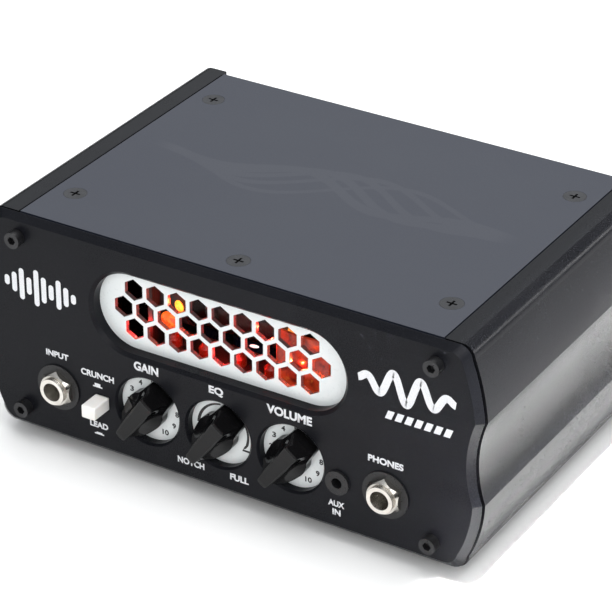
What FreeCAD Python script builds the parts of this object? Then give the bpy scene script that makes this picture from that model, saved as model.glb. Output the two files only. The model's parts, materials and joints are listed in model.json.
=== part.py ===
import FreeCAD, Part
import os
import math
import Sketcher
from FreeCAD import Vector, Placement, Rotation

# Small lunchbox guitar amplifier head.
# Frame: +X to the right of the front panel, +Y to the back, +Z up, millimetres.
# The origin is under the middle of the object, on the surface that the feet stand on.
# fy / fz below carry a local coordinate (front face = 0, underside of case = 0) into that frame.

doc = FreeCAD.newDocument("AmpHead")
sheet = doc.addObject("Spreadsheet::Sheet", "Dims")

DIMS = [
    # case
    ("front_face_y", -60.0), ("foot_h", 4.0), ("case_height", 77.6), ("ridge_x", 91.2),
    ("ridge_hi_z", 53.4), ("ridge_lo_z", 24.6), ("shoulder_x", 86.5), ("shoulder_z", 73.4),
    ("heel_z", 5.0), ("top_flat_x", 82.4), ("bottom_flat_x", 81.6),
    ("upper_arc", 78.0), ("scoop_arc", 42.0), ("lower_arc", 46.0), ("corner_arc", 4.9),
    ("lip_x", 76.3), ("ledge_x", 62.0), ("ledge_t", 2.5), ("cover_t", 2.0), ("cover_half", 75.8),
    ("rail_start", 3.0), ("rail_len", 120.4), ("port_len", 118.2), ("port_r", 3.4), ("port_bore_r", 1.25),
    ("port_x", 75.1), ("port_hi_z", 69.9), ("port_lo_z", 7.9),
    ("skin_lo_x", 83.2), ("skin_ridge_x", 87.9), ("skin_waist_x", 85.6), ("skin_hi_x", 83.4), ("waist_z", 39.0),
    ("cover_len", 118.5), ("cover_edge", 0.6),
    # front panel
    ("panel_inset", 0.6), ("panel_t", 2.2), ("panel_chamfer", 2.1), ("pad_depth", 2.4),
    ("gasket_t", 0.7), ("gasket_inset", 1.6), ("gasket_w", 3.0),
    ("window_w", 91.8), ("window_h", 27.9), ("window_x", -1.6), ("window_z", 53.7),
    ("dial_r", 11.6), ("dial_z", 20.85), ("dial_pitch", 26.4), ("dial_mid_x", -1.15), ("dial_chamfer", 0.7), ("dial_pad", 1.08),
    ("knob_shift_x", -0.55), ("knob_shift_z", 0.42),
    ("open_chamfer", 1.15), ("plate_t", 1.6), ("hex_af", 6.6), ("hex_pitch", 8.0), ("lattice_x", -2.5), ("lattice_z", 53.5),
    ("input_x", -61.5), ("phones_x", 59.1), ("jack_z", 19.4), ("aux_x", 42.3), ("aux_z", 18.2),
    ("button_x", -45.1), ("button_z", 18.7), ("button_w", 5.2), ("button_hh", 4.6), ("button_out", 7.6), ("slot_play", 0.3),
    # knobs and pots
    ("knob_tip", 13.4), ("knob_tail", 9.8), ("knob_waist", 6.7), ("knob_tail_w", 4.8), ("knob_tip_w", 2.0), ("knob_ridge_w", 2.75),
    ("knob_base_y", 3.0), ("knob_h", 9.14), ("knob_skirt_h", 3.5), ("knob_beak_h", 3.95), ("knob_tilt", 9.13), ("shaft_r", 3.0), ("shaft_len", 13.1),
    ("bush_r", 3.5), ("bush_bore_r", 3.06), ("bush_len", 7.0), ("pot_r", 8.3), ("pot_len", 8.0),
    ("pot_nut_r", 5.6), ("pot_nut_t", 1.9), ("knob_pocket_r", 6.1), ("knob_pocket", 3.6),
    # jacks
    ("jack_bush_r", 4.5), ("jack_bore_r", 3.2), ("jack_out", 4.2), ("washer_r", 8.0), ("washer_t", 0.6),
    ("nut_circ_r", 6.35), ("nut_t", 2.4), ("jack_w", 14.6), ("jack_len", 24.0), ("jack_hh", 17.6),
    ("aux_ring_r", 4.1), ("aux_bore_r", 1.8), ("aux_ring_t", 1.0),
    # screws
    ("cap_r", 2.75), ("cap_h", 3.2), ("socket_r", 1.45), ("m3_r", 1.5), ("m3_clear_r", 1.7),
    ("csk_r", 3.75), ("csk_h", 1.75), ("cover_screw_x", 68.0), ("cover_screw_y1", 21.9), ("cover_screw_y2", 102.3),
    ("cover_screw_ym", 11.3), ("cover_screw_len", 6.0), ("pan_r", 2.8), ("pan_h", 2.0),
    # rear
    ("rear_y", 121.5), ("rear_t", 1.9), ("rear_half", 82.6), ("rocker_w", 11.6), ("rocker_hh", 17.4),
    ("switch_w", 15.0), ("switch_hh", 21.0), ("rear_out", 4.2),
    # inside
    ("board_t", 1.6), ("board_w", 118.0), ("board_len", 84.0), ("board_z", 9.6), ("standoff_r", 2.8),
    ("tube_r", 10.2), ("tube_len", 46.0), ("glass_t", 1.0), ("socket_len", 9.0), ("socket_out_r", 11.0),
    ("led_r", 2.4), ("led_len", 6.0), ("cap_big_r", 8.0), ("cap_big_h", 25.0), ("foot_r", 7.5),
]
VALS = {}
for i, (name, number) in enumerate(DIMS):
    row = i + 1
    sheet.set("A%d" % row, name)
    sheet.set("B%d" % row, repr(number))
    sheet.setAlias("B%d" % row, name)
    VALS[name] = float(number)
doc.recompute()


def val(s):
    """A size: a number, an alias, or (alias, factor, offset) or a list of such terms that are added."""
    if isinstance(s, (int, float)):
        return float(s)
    if isinstance(s, str):
        return VALS[s]
    if isinstance(s, list):
        return sum(val(q) for q in s)
    return VALS[s[0]] * s[1] + s[2]


def expr(s):
    if isinstance(s, (int, float)):
        return "%.6f" % s
    if isinstance(s, str):
        return "Dims." + s
    if isinstance(s, list):
        return " + ".join("(" + expr(q) + ")" for q in s)
    return "Dims.%s * %.6f + %.6f" % (s[0], s[1], s[2])


def bind(obj, prop, s):
    if isinstance(s, (int, float)):
        setattr(obj, prop, s)
    else:
        obj.setExpression(prop, expr(s))


def fy(y):
    return VALS["front_face_y"] + y


def fz(z):
    return VALS["foot_h"] + z


ALONG = {
    "+z": Rotation(), "-z": Rotation(Vector(1, 0, 0), 180),
    "+y": Rotation(Vector(1, 0, 0), -90), "-y": Rotation(Vector(1, 0, 0), 90),
    "+x": Rotation(Vector(0, 1, 0), 90), "-x": Rotation(Vector(0, 1, 0), -90),
}
count = {}


def uid(name):
    count[name] = count.get(name, 0) + 1
    return name if count[name] == 1 else "%s_%d" % (name, count[name])


def box(name, sx, sy, sz, cx, y, z):
    """Block centred on cx, from y to y + sy and z to z + sz (local coordinates)."""
    o = doc.addObject("Part::Box", uid(name))
    bind(o, "Length", sx)
    bind(o, "Width", sy)
    bind(o, "Height", sz)
    o.Placement = Placement(Vector(cx - val(sx) / 2.0, fy(y), fz(z)), Rotation())
    return o


def cyl(name, r, length, x, y, z, way):
    o = doc.addObject("Part::Cylinder", uid(name))
    bind(o, "Radius", r)
    bind(o, "Height", length)
    o.Placement = Placement(Vector(x, fy(y), fz(z)), ALONG[way])
    return o


def cone(name, r1, r2, length, x, y, z, way):
    o = doc.addObject("Part::Cone", uid(name))
    bind(o, "Radius1", r1)
    bind(o, "Radius2", r2)
    bind(o, "Height", length)
    o.Placement = Placement(Vector(x, fy(y), fz(z)), ALONG[way])
    return o


def hexa(name, circ, length, x, y, z, way, turn=0.0):
    o = doc.addObject("Part::Prism", uid(name))
    o.Polygon = 6
    bind(o, "Circumradius", circ)
    bind(o, "Height", length)
    o.Placement = Placement(Vector(x, fy(y), fz(z)), ALONG[way].multiply(Rotation(Vector(0, 0, 1), turn)))
    return o


def fuse(name, parts):
    if len(parts) == 1:
        return parts[0]
    o = doc.addObject("Part::MultiFuse", uid(name))
    o.Shapes = parts
    return o


def cut(name, base, tools):
    o = doc.addObject("Part::Cut", uid(name))
    o.Base = base
    o.Tool = fuse(name + "_tool", tools)
    return o


def group(name, parts):
    o = doc.addObject("Part::Compound", uid(name))
    o.Links = parts
    return o


def rounded(name, base, radius, pick):
    """Part::Fillet of the edges of base that pick(edge) accepts."""
    doc.recompute()
    o = doc.addObject("Part::Fillet", uid(name))
    o.Base = base
    o.Edges = [(k + 1, val(radius), val(radius)) for k, e in enumerate(base.Shape.Edges) if pick(e)]
    return o


NODES = []


def node(name, obj):
    obj.Label = name
    NODES.append((name, obj))
    return obj


def plane(body, role):
    for f in body.Origin.OriginFeatures:
        if f.Role == role:
            return f


def new_body(name):
    return doc.addObject("PartDesign::Body", name)


def new_sketch(body, name, role="XZ_Plane", lift=0.0):
    s = body.newObject("Sketcher::SketchObject", name)
    s.AttachmentSupport = [(plane(body, role), "")]
    s.MapMode = "FlatFace"
    if lift:
        s.AttachmentOffset = Placement(Vector(0, 0, lift), Rotation())
    return s


def pin_point(s, geo, pos, px, py):
    """Hold a sketch point at (px, py) with bound distances from the sketch origin."""
    for kind, spec, axis in (("DistanceX", px, -2), ("DistanceY", py, -1)):
        v = val(spec)
        if abs(v) < 1e-9:
            s.addConstraint(Sketcher.Constraint("PointOnObject", geo, pos, axis))
            continue
        if v > 0:
            k = s.addConstraint(Sketcher.Constraint(kind, -1, 1, geo, pos, v))
            text = expr(spec)
        else:
            k = s.addConstraint(Sketcher.Constraint(kind, geo, pos, -1, 1, -v))
            text = "-(" + expr(spec) + ")"
        if not isinstance(spec, (int, float)):
            s.setExpression("Constraints[%d]" % k, text)


def arc_mid(p, q, r, side):
    """Centre of the arc of radius r from p to q; side +1 puts the centre left of p->q."""
    mx, my = (p[0] + q[0]) / 2.0, (p[1] + q[1]) / 2.0
    dx, dy = q[0] - p[0], q[1] - p[1]
    d = math.hypot(dx, dy)
    h = math.sqrt(max(r * r - d * d / 4.0, 0.0))
    return (mx - side * dy / d * h, my + side * dx / d * h)


def outline(s, pts, segs):
    """Closed outline through pts; segs[i] joins point i to i + 1: None for a line, (radius, side) for an arc."""
    n = len(pts)
    P = [(val(a), val(b)) for a, b in pts]
    geos = []
    for i in range(n):
        p, q = P[i], P[(i + 1) % n]
        seg = segs[i]
        if seg is None:
            g = s.addGeometry(Part.LineSegment(Vector(p[0], p[1], 0), Vector(q[0], q[1], 0)), False)
            geos.append((g, 1, 2))
        else:
            r = val(seg[0])
            c = arc_mid(p, q, r, seg[1])
            a0 = math.atan2(p[1] - c[1], p[0] - c[0])
            a1 = math.atan2(q[1] - c[1], q[0] - c[0])
            circ = Part.Circle(Vector(c[0], c[1], 0), Vector(0, 0, 1), r)
            if seg[1] > 0:          # counter-clockwise from p to q
                if a1 < a0:
                    a1 += 2 * math.pi
                g = s.addGeometry(Part.ArcOfCircle(circ, a0, a1), False)
                geos.append((g, 1, 2))
            else:                   # clockwise: stored reversed
                if a0 < a1:
                    a0 += 2 * math.pi
                g = s.addGeometry(Part.ArcOfCircle(circ, a1, a0), False)
                geos.append((g, 2, 1))
    for i in range(n):
        g, start, end = geos[i]
        h, start2, end2 = geos[(i + 1) % n]
        s.addConstraint(Sketcher.Constraint("Coincident", g, end, h, start2))
    for i in range(n):
        g, start, end = geos[i]
        pin_point(s, g, start, pts[i][0], pts[i][1])
    for i in range(n):
        if segs[i] is not None:
            g = geos[i][0]
            k = s.addConstraint(Sketcher.Constraint("Radius", g, val(segs[i][0])))
            if not isinstance(segs[i][0], (int, float)):
                s.setExpression("Constraints[%d]" % k, expr(segs[i][0]))
    return geos


def disc(s, px, py, r):
    g = s.addGeometry(Part.Circle(Vector(val(px), val(py), 0), Vector(0, 0, 1), val(r)), False)
    pin_point(s, g, 3, px, py)
    k = s.addConstraint(Sketcher.Constraint("Radius", g, val(r)))
    if not isinstance(r, (int, float)):
        s.setExpression("Constraints[%d]" % k, expr(r))
    return g


def rect(s, cx, cz, w, hh):
    """Rectangle centred on (cx, cz)."""
    x0, x1 = [cx, neg_half(w)], [cx, half(w)]
    z0, z1 = [cz, neg_half(hh)], [cz, half(hh)]
    return outline(s, [(x0, z0), (x1, z0), (x1, z1), (x0, z1)], [None] * 4)


def part_of(s, factor):
    """The size s times a factor, as another size."""
    if isinstance(s, (int, float)):
        return s * factor
    if isinstance(s, str):
        return (s, factor, 0.0)
    return (s[0], s[1] * factor, s[2] * factor)


def half(s):
    return part_of(s, 0.5)


def neg_half(s):
    return part_of(s, -0.5)


def stadium(s, cx, cz, w, hh):
    """Slot with round ends, w wide and hh high."""
    xl = [cx, (w, -0.5, 0.0), (hh, 0.5, 0.0)]
    xr = [cx, (w, 0.5, 0.0), (hh, -0.5, 0.0)]
    z0 = [cz, (hh, -0.5, 0.0)]
    z1 = [cz, (hh, 0.5, 0.0)]
    r = (hh, 0.5, 0.0)
    # the round ends are exact half circles: the radius follows from the end points, so only a tangency is added
    P = {k: (val(a), val(b)) for k, a, b in (("a", xl, z0), ("b", xr, z0), ("c", xr, z1), ("d", xl, z1))}
    rr = val(hh) / 2.0
    g0 = s.addGeometry(Part.LineSegment(Vector(P["a"][0], P["a"][1], 0), Vector(P["b"][0], P["b"][1], 0)), False)
    g1 = s.addGeometry(Part.ArcOfCircle(Part.Circle(Vector(P["b"][0], val(cz), 0), Vector(0, 0, 1), rr), -math.pi / 2, math.pi / 2), False)
    g2 = s.addGeometry(Part.LineSegment(Vector(P["c"][0], P["c"][1], 0), Vector(P["d"][0], P["d"][1], 0)), False)
    g3 = s.addGeometry(Part.ArcOfCircle(Part.Circle(Vector(P["a"][0], val(cz), 0), Vector(0, 0, 1), rr), math.pi / 2, 3 * math.pi / 2), False)
    s.addConstraint(Sketcher.Constraint("Coincident", g0, 2, g1, 1))
    s.addConstraint(Sketcher.Constraint("Coincident", g1, 2, g2, 1))
    s.addConstraint(Sketcher.Constraint("Coincident", g2, 2, g3, 1))
    s.addConstraint(Sketcher.Constraint("Coincident", g3, 2, g0, 1))
    pin_point(s, g0, 1, xl, z0)
    pin_point(s, g0, 2, xr, z0)
    pin_point(s, g1, 3, xr, cz)
    pin_point(s, g3, 3, xl, cz)
    s.addConstraint(Sketcher.Constraint("Vertical", g1, 1, g1, 2))
    s.addConstraint(Sketcher.Constraint("Vertical", g3, 1, g3, 2))


def pad(body, sketch, length, reverse=True):
    f = body.newObject("PartDesign::Pad", sketch.Name + "_pad")
    f.Profile = sketch
    bind(f, "Length", length)
    f.Reversed = reverse
    sketch.Visibility = False
    return f


def pocket(body, sketch, length, reverse=True, through=False):
    f = body.newObject("PartDesign::Pocket", sketch.Name + "_pocket")
    f.Profile = sketch
    if through:
        f.Type = "ThroughAll"
        f.Midplane = True
    else:
        bind(f, "Length", length)
    f.Reversed = reverse
    return f


def plus(a, b):
    return [a, b]


# ---------------------------------------------------------------- sculpted side rails
# The section, seen from the front: flat lip on top, a rounded shoulder, a bulging upper flank down to a
# sharp ridge, a hollow scoop to a second ridge, and a bulging lower flank that curves in to the bottom.
def side_outline(sign, inset):
    def X(a, off=0.0):
        return (a, float(sign), sign * (off - inset))

    def Z(a, off=0.0):
        return (a, 1.0, off)
    return X, Z


def make_rail(name, sign):
    body = new_body(name)
    s = new_sketch(body, name + "_section")
    X, Z = side_outline(sign, 0.0)
    H = "case_height"
    pts = [
        (X("lip_x"), Z(H)), (X("top_flat_x"), Z(H)), (X("shoulder_x"), Z("shoulder_z")),
        (X("ridge_x"), Z("ridge_hi_z")), (X("ridge_x"), Z("ridge_lo_z")), (X("shoulder_x"), Z("heel_z")),
        (X("bottom_flat_x"), 0.0), (X("lip_x"), 0.0), (X("lip_x"), ("cover_t", 1.0, 0.1)),
        (X("ledge_x"), ("cover_t", 1.0, 0.1)), (X("ledge_x"), [("cover_t", 1.0, 0.1), "ledge_t"]),
        (X("skin_lo_x"), [("cover_t", 1.0, 0.1), "ledge_t"]),
        (X("skin_ridge_x"), Z("ridge_lo_z")), (X("skin_waist_x"), Z("waist_z")), (X("skin_ridge_x"), Z("ridge_hi_z")),
        (X("skin_hi_x"), [H, ("cover_t", -1.0, -0.1), ("ledge_t", -1.0, 0.0)]),
        (X("ledge_x"), [H, ("cover_t", -1.0, -0.1), ("ledge_t", -1.0, 0.0)]),
        (X("ledge_x"), [H, ("cover_t", -1.0, -0.1)]), (X("lip_x"), [H, ("cover_t", -1.0, -0.1)]),
    ]
    cw = -1 * sign
    segs = [None, ("corner_arc", cw), ("upper_arc", cw), ("scoop_arc", -cw), ("lower_arc", cw), ("corner_arc", cw)] + [None] * 13
    outline(s, pts, segs)
    pad(body, s, "rail_len")
    # screw ports for the panel screws, stopped short at the back for the rear panel
    b = new_sketch(body, name + "_ports")
    disc(b, X("port_x"), "port_hi_z", "port_r")
    disc(b, X("port_x"), "port_lo_z", "port_r")
    pad(body, b, "port_len")
    t = new_sketch(body, name + "_port_bores")
    disc(t, X("port_x"), "port_hi_z", "port_bore_r")
    disc(t, X("port_x"), "port_lo_z", "port_bore_r")
    pocket(body, t, 10.0, True, True)
    # rebate for the rear panel, cut from the back end of the ledges and ports
    r = new_sketch(body, name + "_rebate", "XZ_Plane", -val("port_len"))
    inner = 60.0
    a = ("rear_half", float(sign), sign * 0.3)
    outline(r, [(sign * inner, 2.3), (a, 2.3), (a, 75.3), (sign * inner, 75.3)], [None] * 4)
    pocket(body, r, 6.0, False)
    body.Placement = Placement(Vector(0, fy(val("rail_start")), fz(0)), Rotation())
    return body


rail_r = make_rail("side_rail_right", 1)
rail_l = make_rail("side_rail_left", -1)
doc.recompute()
# tapped holes for the cover screws, in the ledges of the rails
SCREWS_TOP = [(-1, "cover_screw_y1"), (-1, "cover_screw_y2"), (1, "cover_screw_y1"), (1, "cover_screw_y2")]
def ledge_holes(body, sign, name):
    tools = []
    for y in ("cover_screw_y1", "cover_screw_y2"):
        tools.append(cyl(name + "_tap", ("m3_r", 1.0, 0.02), 6.0, sign * val("cover_screw_x"), val(y), 71.5, "+z"))
        tools.append(cyl(name + "_tap", ("m3_r", 1.0, 0.02), 6.0, sign * val("cover_screw_x"), val(y), 0.5, "+z"))
    return cut(name + "_tapped", body, tools)
node("side_rail_right", ledge_holes(rail_r, 1, "right"))
node("side_rail_left", ledge_holes(rail_l, -1, "left"))

# ---------------------------------------------------------------- covers
def plate_body(name, w, length, thick, y0, z0):
    body = new_body(name)
    s = new_sketch(body, name + "_outline", "XY_Plane")
    outline(s, [((w, -1.0, 0.0), 0.0), (w, 0.0), (w, length), ((w, -1.0, 0.0), length)], [None] * 4)
    pad(body, s, thick, False)
    body.Placement = Placement(Vector(0, fy(y0), fz(z0)), Rotation())
    return body


top = plate_body("top_cover_plate", "cover_half", "cover_len", "cover_t", 3.2, val("case_height") - val("cover_t"))
def top_screw_places():
    out = [(s * val("cover_screw_x"), val(y)) for s, y in SCREWS_TOP]
    out.append((0.0, val("cover_screw_ym")))
    return out
H = val("case_height")
tools = []
for x, y in top_screw_places():
    tools.append(cyl("cover_hole", "m3_clear_r", 8.0, x, y, H - 5.0, "+z"))
    tools.append(cone("cover_sink", 2.2, ("csk_r", 1.0, 0.12), 1.9, x, y, H - 1.9 + 0.02, "+z"))
top_cut = cut("top_cover_drilled", top, tools)
node("top_cover", rounded("top_cover_soft", top_cut, "cover_edge",
     lambda e: e.BoundBox.YMin > fy(3.2 + val("cover_len")) - 0.01 and e.BoundBox.ZMin > fz(H) - 0.01 and e.Length > 100))

bottom = plate_body("bottom_cover_plate", "cover_half", "cover_len", "cover_t", 3.2, 0.0)
tools = []
for s, y in SCREWS_TOP:
    tools.append(cyl("under_hole", "m3_clear_r", 8.0, s * val("cover_screw_x"), val(y), -3.0, "+z"))
    tools.append(cone("under_sink", ("csk_r", 1.0, 0.12), 2.2, 1.9, s * val("cover_screw_x"), val(y), -0.02, "+z"))
FEET = [(-56.0, 14.0), (56.0, 14.0), (-56.0, 110.0), (56.0, 110.0)]
STAND = [(-54.0, 32.0), (54.0, 32.0), (-54.0, 102.0), (54.0, 102.0)]
for x, y in FEET:
    tools.append(cyl("foot_hole", "m3_clear_r", 8.0, x, y, -3.0, "+z"))
for k in range(9):
    tools.append(box("vent", 2.4, 30.0, 8.0, -24.0 + 6.0 * k, 58.0, -3.0))
node("bottom_cover", cut("bottom_cover_drilled", bottom, tools))

# ---------------------------------------------------------------- front panel
DIALS = [("gain", -1), ("eq", 0), ("volume", 1)]
def dial_x(k):
    return val("dial_mid_x") + k * val("dial_pitch")


def pot_x(k):
    """Axis of a pot, its shaft and its knob."""
    return dial_x(k) + val("knob_shift_x")


def pot_z():
    return val("dial_z") + val("knob_shift_z")


def panel_outline(s, inset, trim=0.0):
    """Closed outline of the front parts: both sculpted flanks joined by the flat top and bottom."""
    i = inset

    def q(alias, sign, off=0.0):
        return (alias, float(sign), sign * (off - i))
    up = ("case_height", 1.0, -trim)
    sh = ("shoulder_z", 1.0, -0.5 * trim)
    he = ("heel_z", 1.0, 0.5 * trim)
    lo = trim
    pts = [
        (q("top_flat_x", 1, 0.3), up), (q("shoulder_x", 1), sh), (q("ridge_x", 1), "ridge_hi_z"),
        (q("ridge_x", 1), "ridge_lo_z"), (q("shoulder_x", 1), he), (q("bottom_flat_x", 1, 0.3), lo),
        (q("bottom_flat_x", -1, 0.3), lo), (q("shoulder_x", -1), he), (q("ridge_x", -1), "ridge_lo_z"),
        (q("ridge_x", -1), "ridge_hi_z"), (q("shoulder_x", -1), sh), (q("top_flat_x", -1, 0.3), up),
    ]
    segs = [("corner_arc", -1), ("upper_arc", -1), ("scoop_arc", 1), ("lower_arc", -1), ("corner_arc", -1), None,
            ("corner_arc", -1), ("lower_arc", -1), ("scoop_arc", 1), ("upper_arc", -1), ("corner_arc", -1), None]
    outline(s, pts, segs)


panel = new_body("front_panel_body")
# bevel all round: a ruled loft from the smaller front face back to the full outline, then a thin land
s1 = new_sketch(panel, "panel_face_sketch")
panel_outline(s1, val("panel_inset") + val("panel_chamfer"), val("panel_chamfer"))
s2 = new_sketch(panel, "panel_full_sketch", "XZ_Plane", -val("panel_chamfer"))
panel_outline(s2, val("panel_inset"))
bevel = panel.newObject("PartDesign::AdditiveLoft", "panel_bevel")
bevel.Profile = s1
bevel.Sections = [s2]
bevel.Ruled = True
s = new_sketch(panel, "panel_land_sketch", "XZ_Plane", -val("panel_chamfer"))
panel_outline(s, val("panel_inset"))
pad(panel, s, ("panel_t", 1.0, -val("panel_chamfer")))
doc.recompute()
s = new_sketch(panel, "pad_window_sketch", "XZ_Plane", -val("panel_t") + 0.0)
outline(s, [(-52.0, 35.6), (47.0, 35.6), (47.0, 71.6), (-52.0, 71.6)], [None] * 4)
pad(panel, s, "pad_depth")
s = new_sketch(panel, "pad_dial_sketch", "XZ_Plane", -val("panel_t") + 0.0)
outline(s, [(-41.9, 5.2), (37.8, 5.2), (37.8, 35.5), (-41.9, 35.5)], [None] * 4)
pad(panel, s, "dial_pad")
s = new_sketch(panel, "window_sketch")
stadium(s, "window_x", "window_z", "window_w", "window_h")
pocket(panel, s, 10.0, True, True)
s = new_sketch(panel, "dial_sketch")
for n, k in DIALS:
    disc(s, ["dial_mid_x", ("dial_pitch", float(k), 0.0)], "dial_z", "dial_r")
pocket(panel, s, 10.0, True, True)
s = new_sketch(panel, "jack_hole_sketch")
disc(s, "input_x", "jack_z", ("jack_bush_r", 1.0, 0.15))
disc(s, "phones_x", "jack_z", ("jack_bush_r", 1.0, 0.15))
disc(s, "aux_x", "aux_z", 3.0)
for sx in (-1, 1):
    for z in ("port_lo_z", "port_hi_z"):
        disc(s, ("port_x", float(sx), 0.0), z, "m3_clear_r")
pocket(panel, s, 10.0, True, True)
s = new_sketch(panel, "button_slot_sketch")
rect(s, "button_x", "button_z", ("button_w", 1.0, 0.6), ("button_hh", 1.0, 0.6))
pocket(panel, s, 10.0, True, True)
doc.recompute()
# bevelled mouths of the window and of the dial openings
tip = panel.Tip
edges = []
seen_window = False      # the rest of the window's rim follows its first edge by tangency
for k, e in enumerate(tip.Shape.Edges):
    bb = e.BoundBox
    if bb.YMax > 1e-4 or bb.YMin < -1e-4:
        continue
    cx = (bb.XMin + bb.XMax) / 2.0
    cz = (bb.ZMin + bb.ZMax) / 2.0
    in_window = abs(cx - val("window_x")) < 47.0 and abs(cz - val("window_z")) < 15.0 and bb.ZMax - bb.ZMin < 30.0
    if in_window and not seen_window:
        edges.append("Edge%d" % (k + 1))
        seen_window = True
ch2 = panel.newObject("PartDesign::Chamfer", "mouth_chamfer")
ch2.Base = (tip, edges)
ch2.setExpression("Size", "Dims.open_chamfer")
doc.recompute()
tip = panel.Tip
edges = []
for k, e in enumerate(tip.Shape.Edges):
    bb = e.BoundBox
    if bb.YMax > 1e-4 or bb.YMin < -1e-4:
        continue
    cx = (bb.XMin + bb.XMax) / 2.0
    cz = (bb.ZMin + bb.ZMax) / 2.0
    if any(abs(cx - dial_x(n)) < 0.5 and abs(cz - val("dial_z")) < 0.5 for q2, n in DIALS) and bb.XMax - bb.XMin > 20.0:
        edges.append("Edge%d" % (k + 1))
ch3 = panel.newObject("PartDesign::Chamfer", "dial_mouth_chamfer")
ch3.Base = (tip, edges)
ch3.setExpression("Size", "Dims.dial_chamfer")
panel.Placement = Placement(Vector(0, fy(0), fz(0)), Rotation())
node("front_panel", panel)

# thin black gasket between panel and rails; it leaves the narrow dark line round the front
gasket = new_body("front_gasket_body")
s = new_sketch(gasket, "gasket_outer")
panel_outline(s, val("gasket_inset") , 1.0)
pad(gasket, s, "gasket_t")
s = new_sketch(gasket, "gasket_inner")
outline(s, [(-72.0, 5.0), (72.0, 5.0), (80.0, 13.0), (80.0, 64.0), (72.0, 72.2), (-72.0, 72.2), (-80.0, 64.0), (-80.0, 13.0)], [None] * 8)
pocket(gasket, s, 10.0, True, True)
s = new_sketch(gasket, "gasket_holes")
for sx in (-1, 1):
    for z in ("port_lo_z", "port_hi_z"):
        disc(s, ("port_x", float(sx), 0.0), z, "m3_clear_r")
pocket(gasket, s, 10.0, True, True)
gasket.Placement = Placement(Vector(0, fy(val("panel_t") + 0.02), fz(0)), Rotation())
doc.recompute()
node("front_gasket", gasket)

# ---------------------------------------------------------------- white plates behind the panel
grille = new_body("window_grille_body")
s = new_sketch(grille, "grille_outline")
outline(s, [(-51.5, 36.2), (46.5, 36.2), (46.5, 71.2), (-51.5, 71.2)], [None] * 4)
pad(grille, s, "plate_t")
s = new_sketch(grille, "grille_hexes")
circ = val("hex_af") / math.sqrt(3.0)
HEXES = []
for rowk, n in ((1, 9), (0, 10), (-1, 9)):
    for i in range(n):
        HEXES.append((val("lattice_x") + (i - (n - 1) / 2.0) * val("hex_pitch"),
                      val("lattice_z") + rowk * val("hex_pitch") * math.sqrt(3.0) / 2.0))
for cx, cz in HEXES:
    pts = [(cx + circ * math.sin(math.radians(60 * j)), cz + circ * math.cos(math.radians(60 * j))) for j in range(6)]
    g = []
    for j in range(6):
        a, b = pts[j], pts[(j + 1) % 6]
        g.append(s.addGeometry(Part.LineSegment(Vector(a[0], a[1], 0), Vector(b[0], b[1], 0)), False))
    for j in range(6):
        s.addConstraint(Sketcher.Constraint("Coincident", g[j], 2, g[(j + 1) % 6], 1))
pocket(grille, s, 10.0, True, True)
grille.Placement = Placement(Vector(0, fy(4.62), fz(0)), Rotation())
node("window_grille", grille)

dial_plate = new_body("dial_plate_body")
s = new_sketch(dial_plate, "dial_plate_outline")
outline(s, [(-41.8, 5.4), (37.7, 5.4), (37.7, 35.3), (-41.8, 35.3)], [None] * 4)
pad(dial_plate, s, "plate_t")
s = new_sketch(dial_plate, "dial_plate_holes")
for n, k in DIALS:
    disc(s, ["dial_mid_x", "knob_shift_x", ("dial_pitch", float(k), 0.0)], ["dial_z", "knob_shift_z"], ("bush_r", 1.0, 0.1))
pocket(dial_plate, s, 10.0, True, True)
dial_plate.Placement = Placement(Vector(0, fy(val("panel_t") + val("dial_pad") + 0.02), fz(0)), Rotation())
node("dial_plate", dial_plate)

# ---------------------------------------------------------------- pots, shafts, knobs
TEARDROP = [
    ("tail", 1.0, "tw", 0.0), ("tail", 1.0, "tw", 0.72), ("tail", 0.9, "tw", 1.0), ("tail", 0.62, "tw", 1.06),
    ("w", 0.62, "w", 0.80), ("w", 0.30, "w", 0.955), ("w", 0.0, "w", 1.0), ("w", -0.37, "w", 0.94), ("w", -0.75, "w", 0.88),
    ("w", -1.13, "w", 0.75), ("t", -0.77, "pw", 1.9), ("t", -0.93, "pw", 1.2), ("t", -0.985, "pw", 0.75), ("t", -1.0, "pw", 0.0),
]
RIDGE = [
    ("tail", 1.0, "tw", 0.0), ("tail", 1.0, "tw", 0.80), ("tail", 0.95, "tw", 0.98), ("tail", 0.62, "tw", 0.96),
    ("w", 0.62, "tw", 0.90), ("w", 0.30, "tw", 0.86), ("w", 0.0, "tw", 0.83), ("w", -0.37, "tw", 0.82), ("w", -0.75, "tw", 0.81),
    ("w", -1.13, "tw", 0.80), ("t", -0.80, "pw", 1.03), ("t", -0.95, "pw", 0.95), ("t", -0.988, "pw", 0.66), ("t", -1.0, "pw", 0.0),
]


def knob_ring(name, plan, y, tip, tail, waist, tail_w, tip_w, tilt):
    """Plan of a chicken-head knob at one height (pointing to -Z): square tail, round waist and tapering beak, or the narrow ridge on top."""
    s = doc.addObject("Sketcher::SketchObject", name)
    size = {"tail": tail, "w": waist, "t": tip, "tw": tail_w, "pw": tip_w}
    P = []
    for kz, fz_, kx, fx in plan:
        P.append(((size[kx][0], size[kx][1] * fx, 0.0), (size[kz][0], size[kz][1] * fz_, 0.0)))
    right = P[1:-1]
    left = [((a[0], -a[1], a[2]), b) for a, b in reversed(right)]
    pts = [(0.0, P[0][1])] + right + [(0.0, P[-1][1])] + left
    outline(s, pts, [None] * len(pts))
    s.Placement = Placement(Vector(0, y, 0), Rotation(Vector(1, 0, 0), 90 + tilt))
    return s


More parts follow.
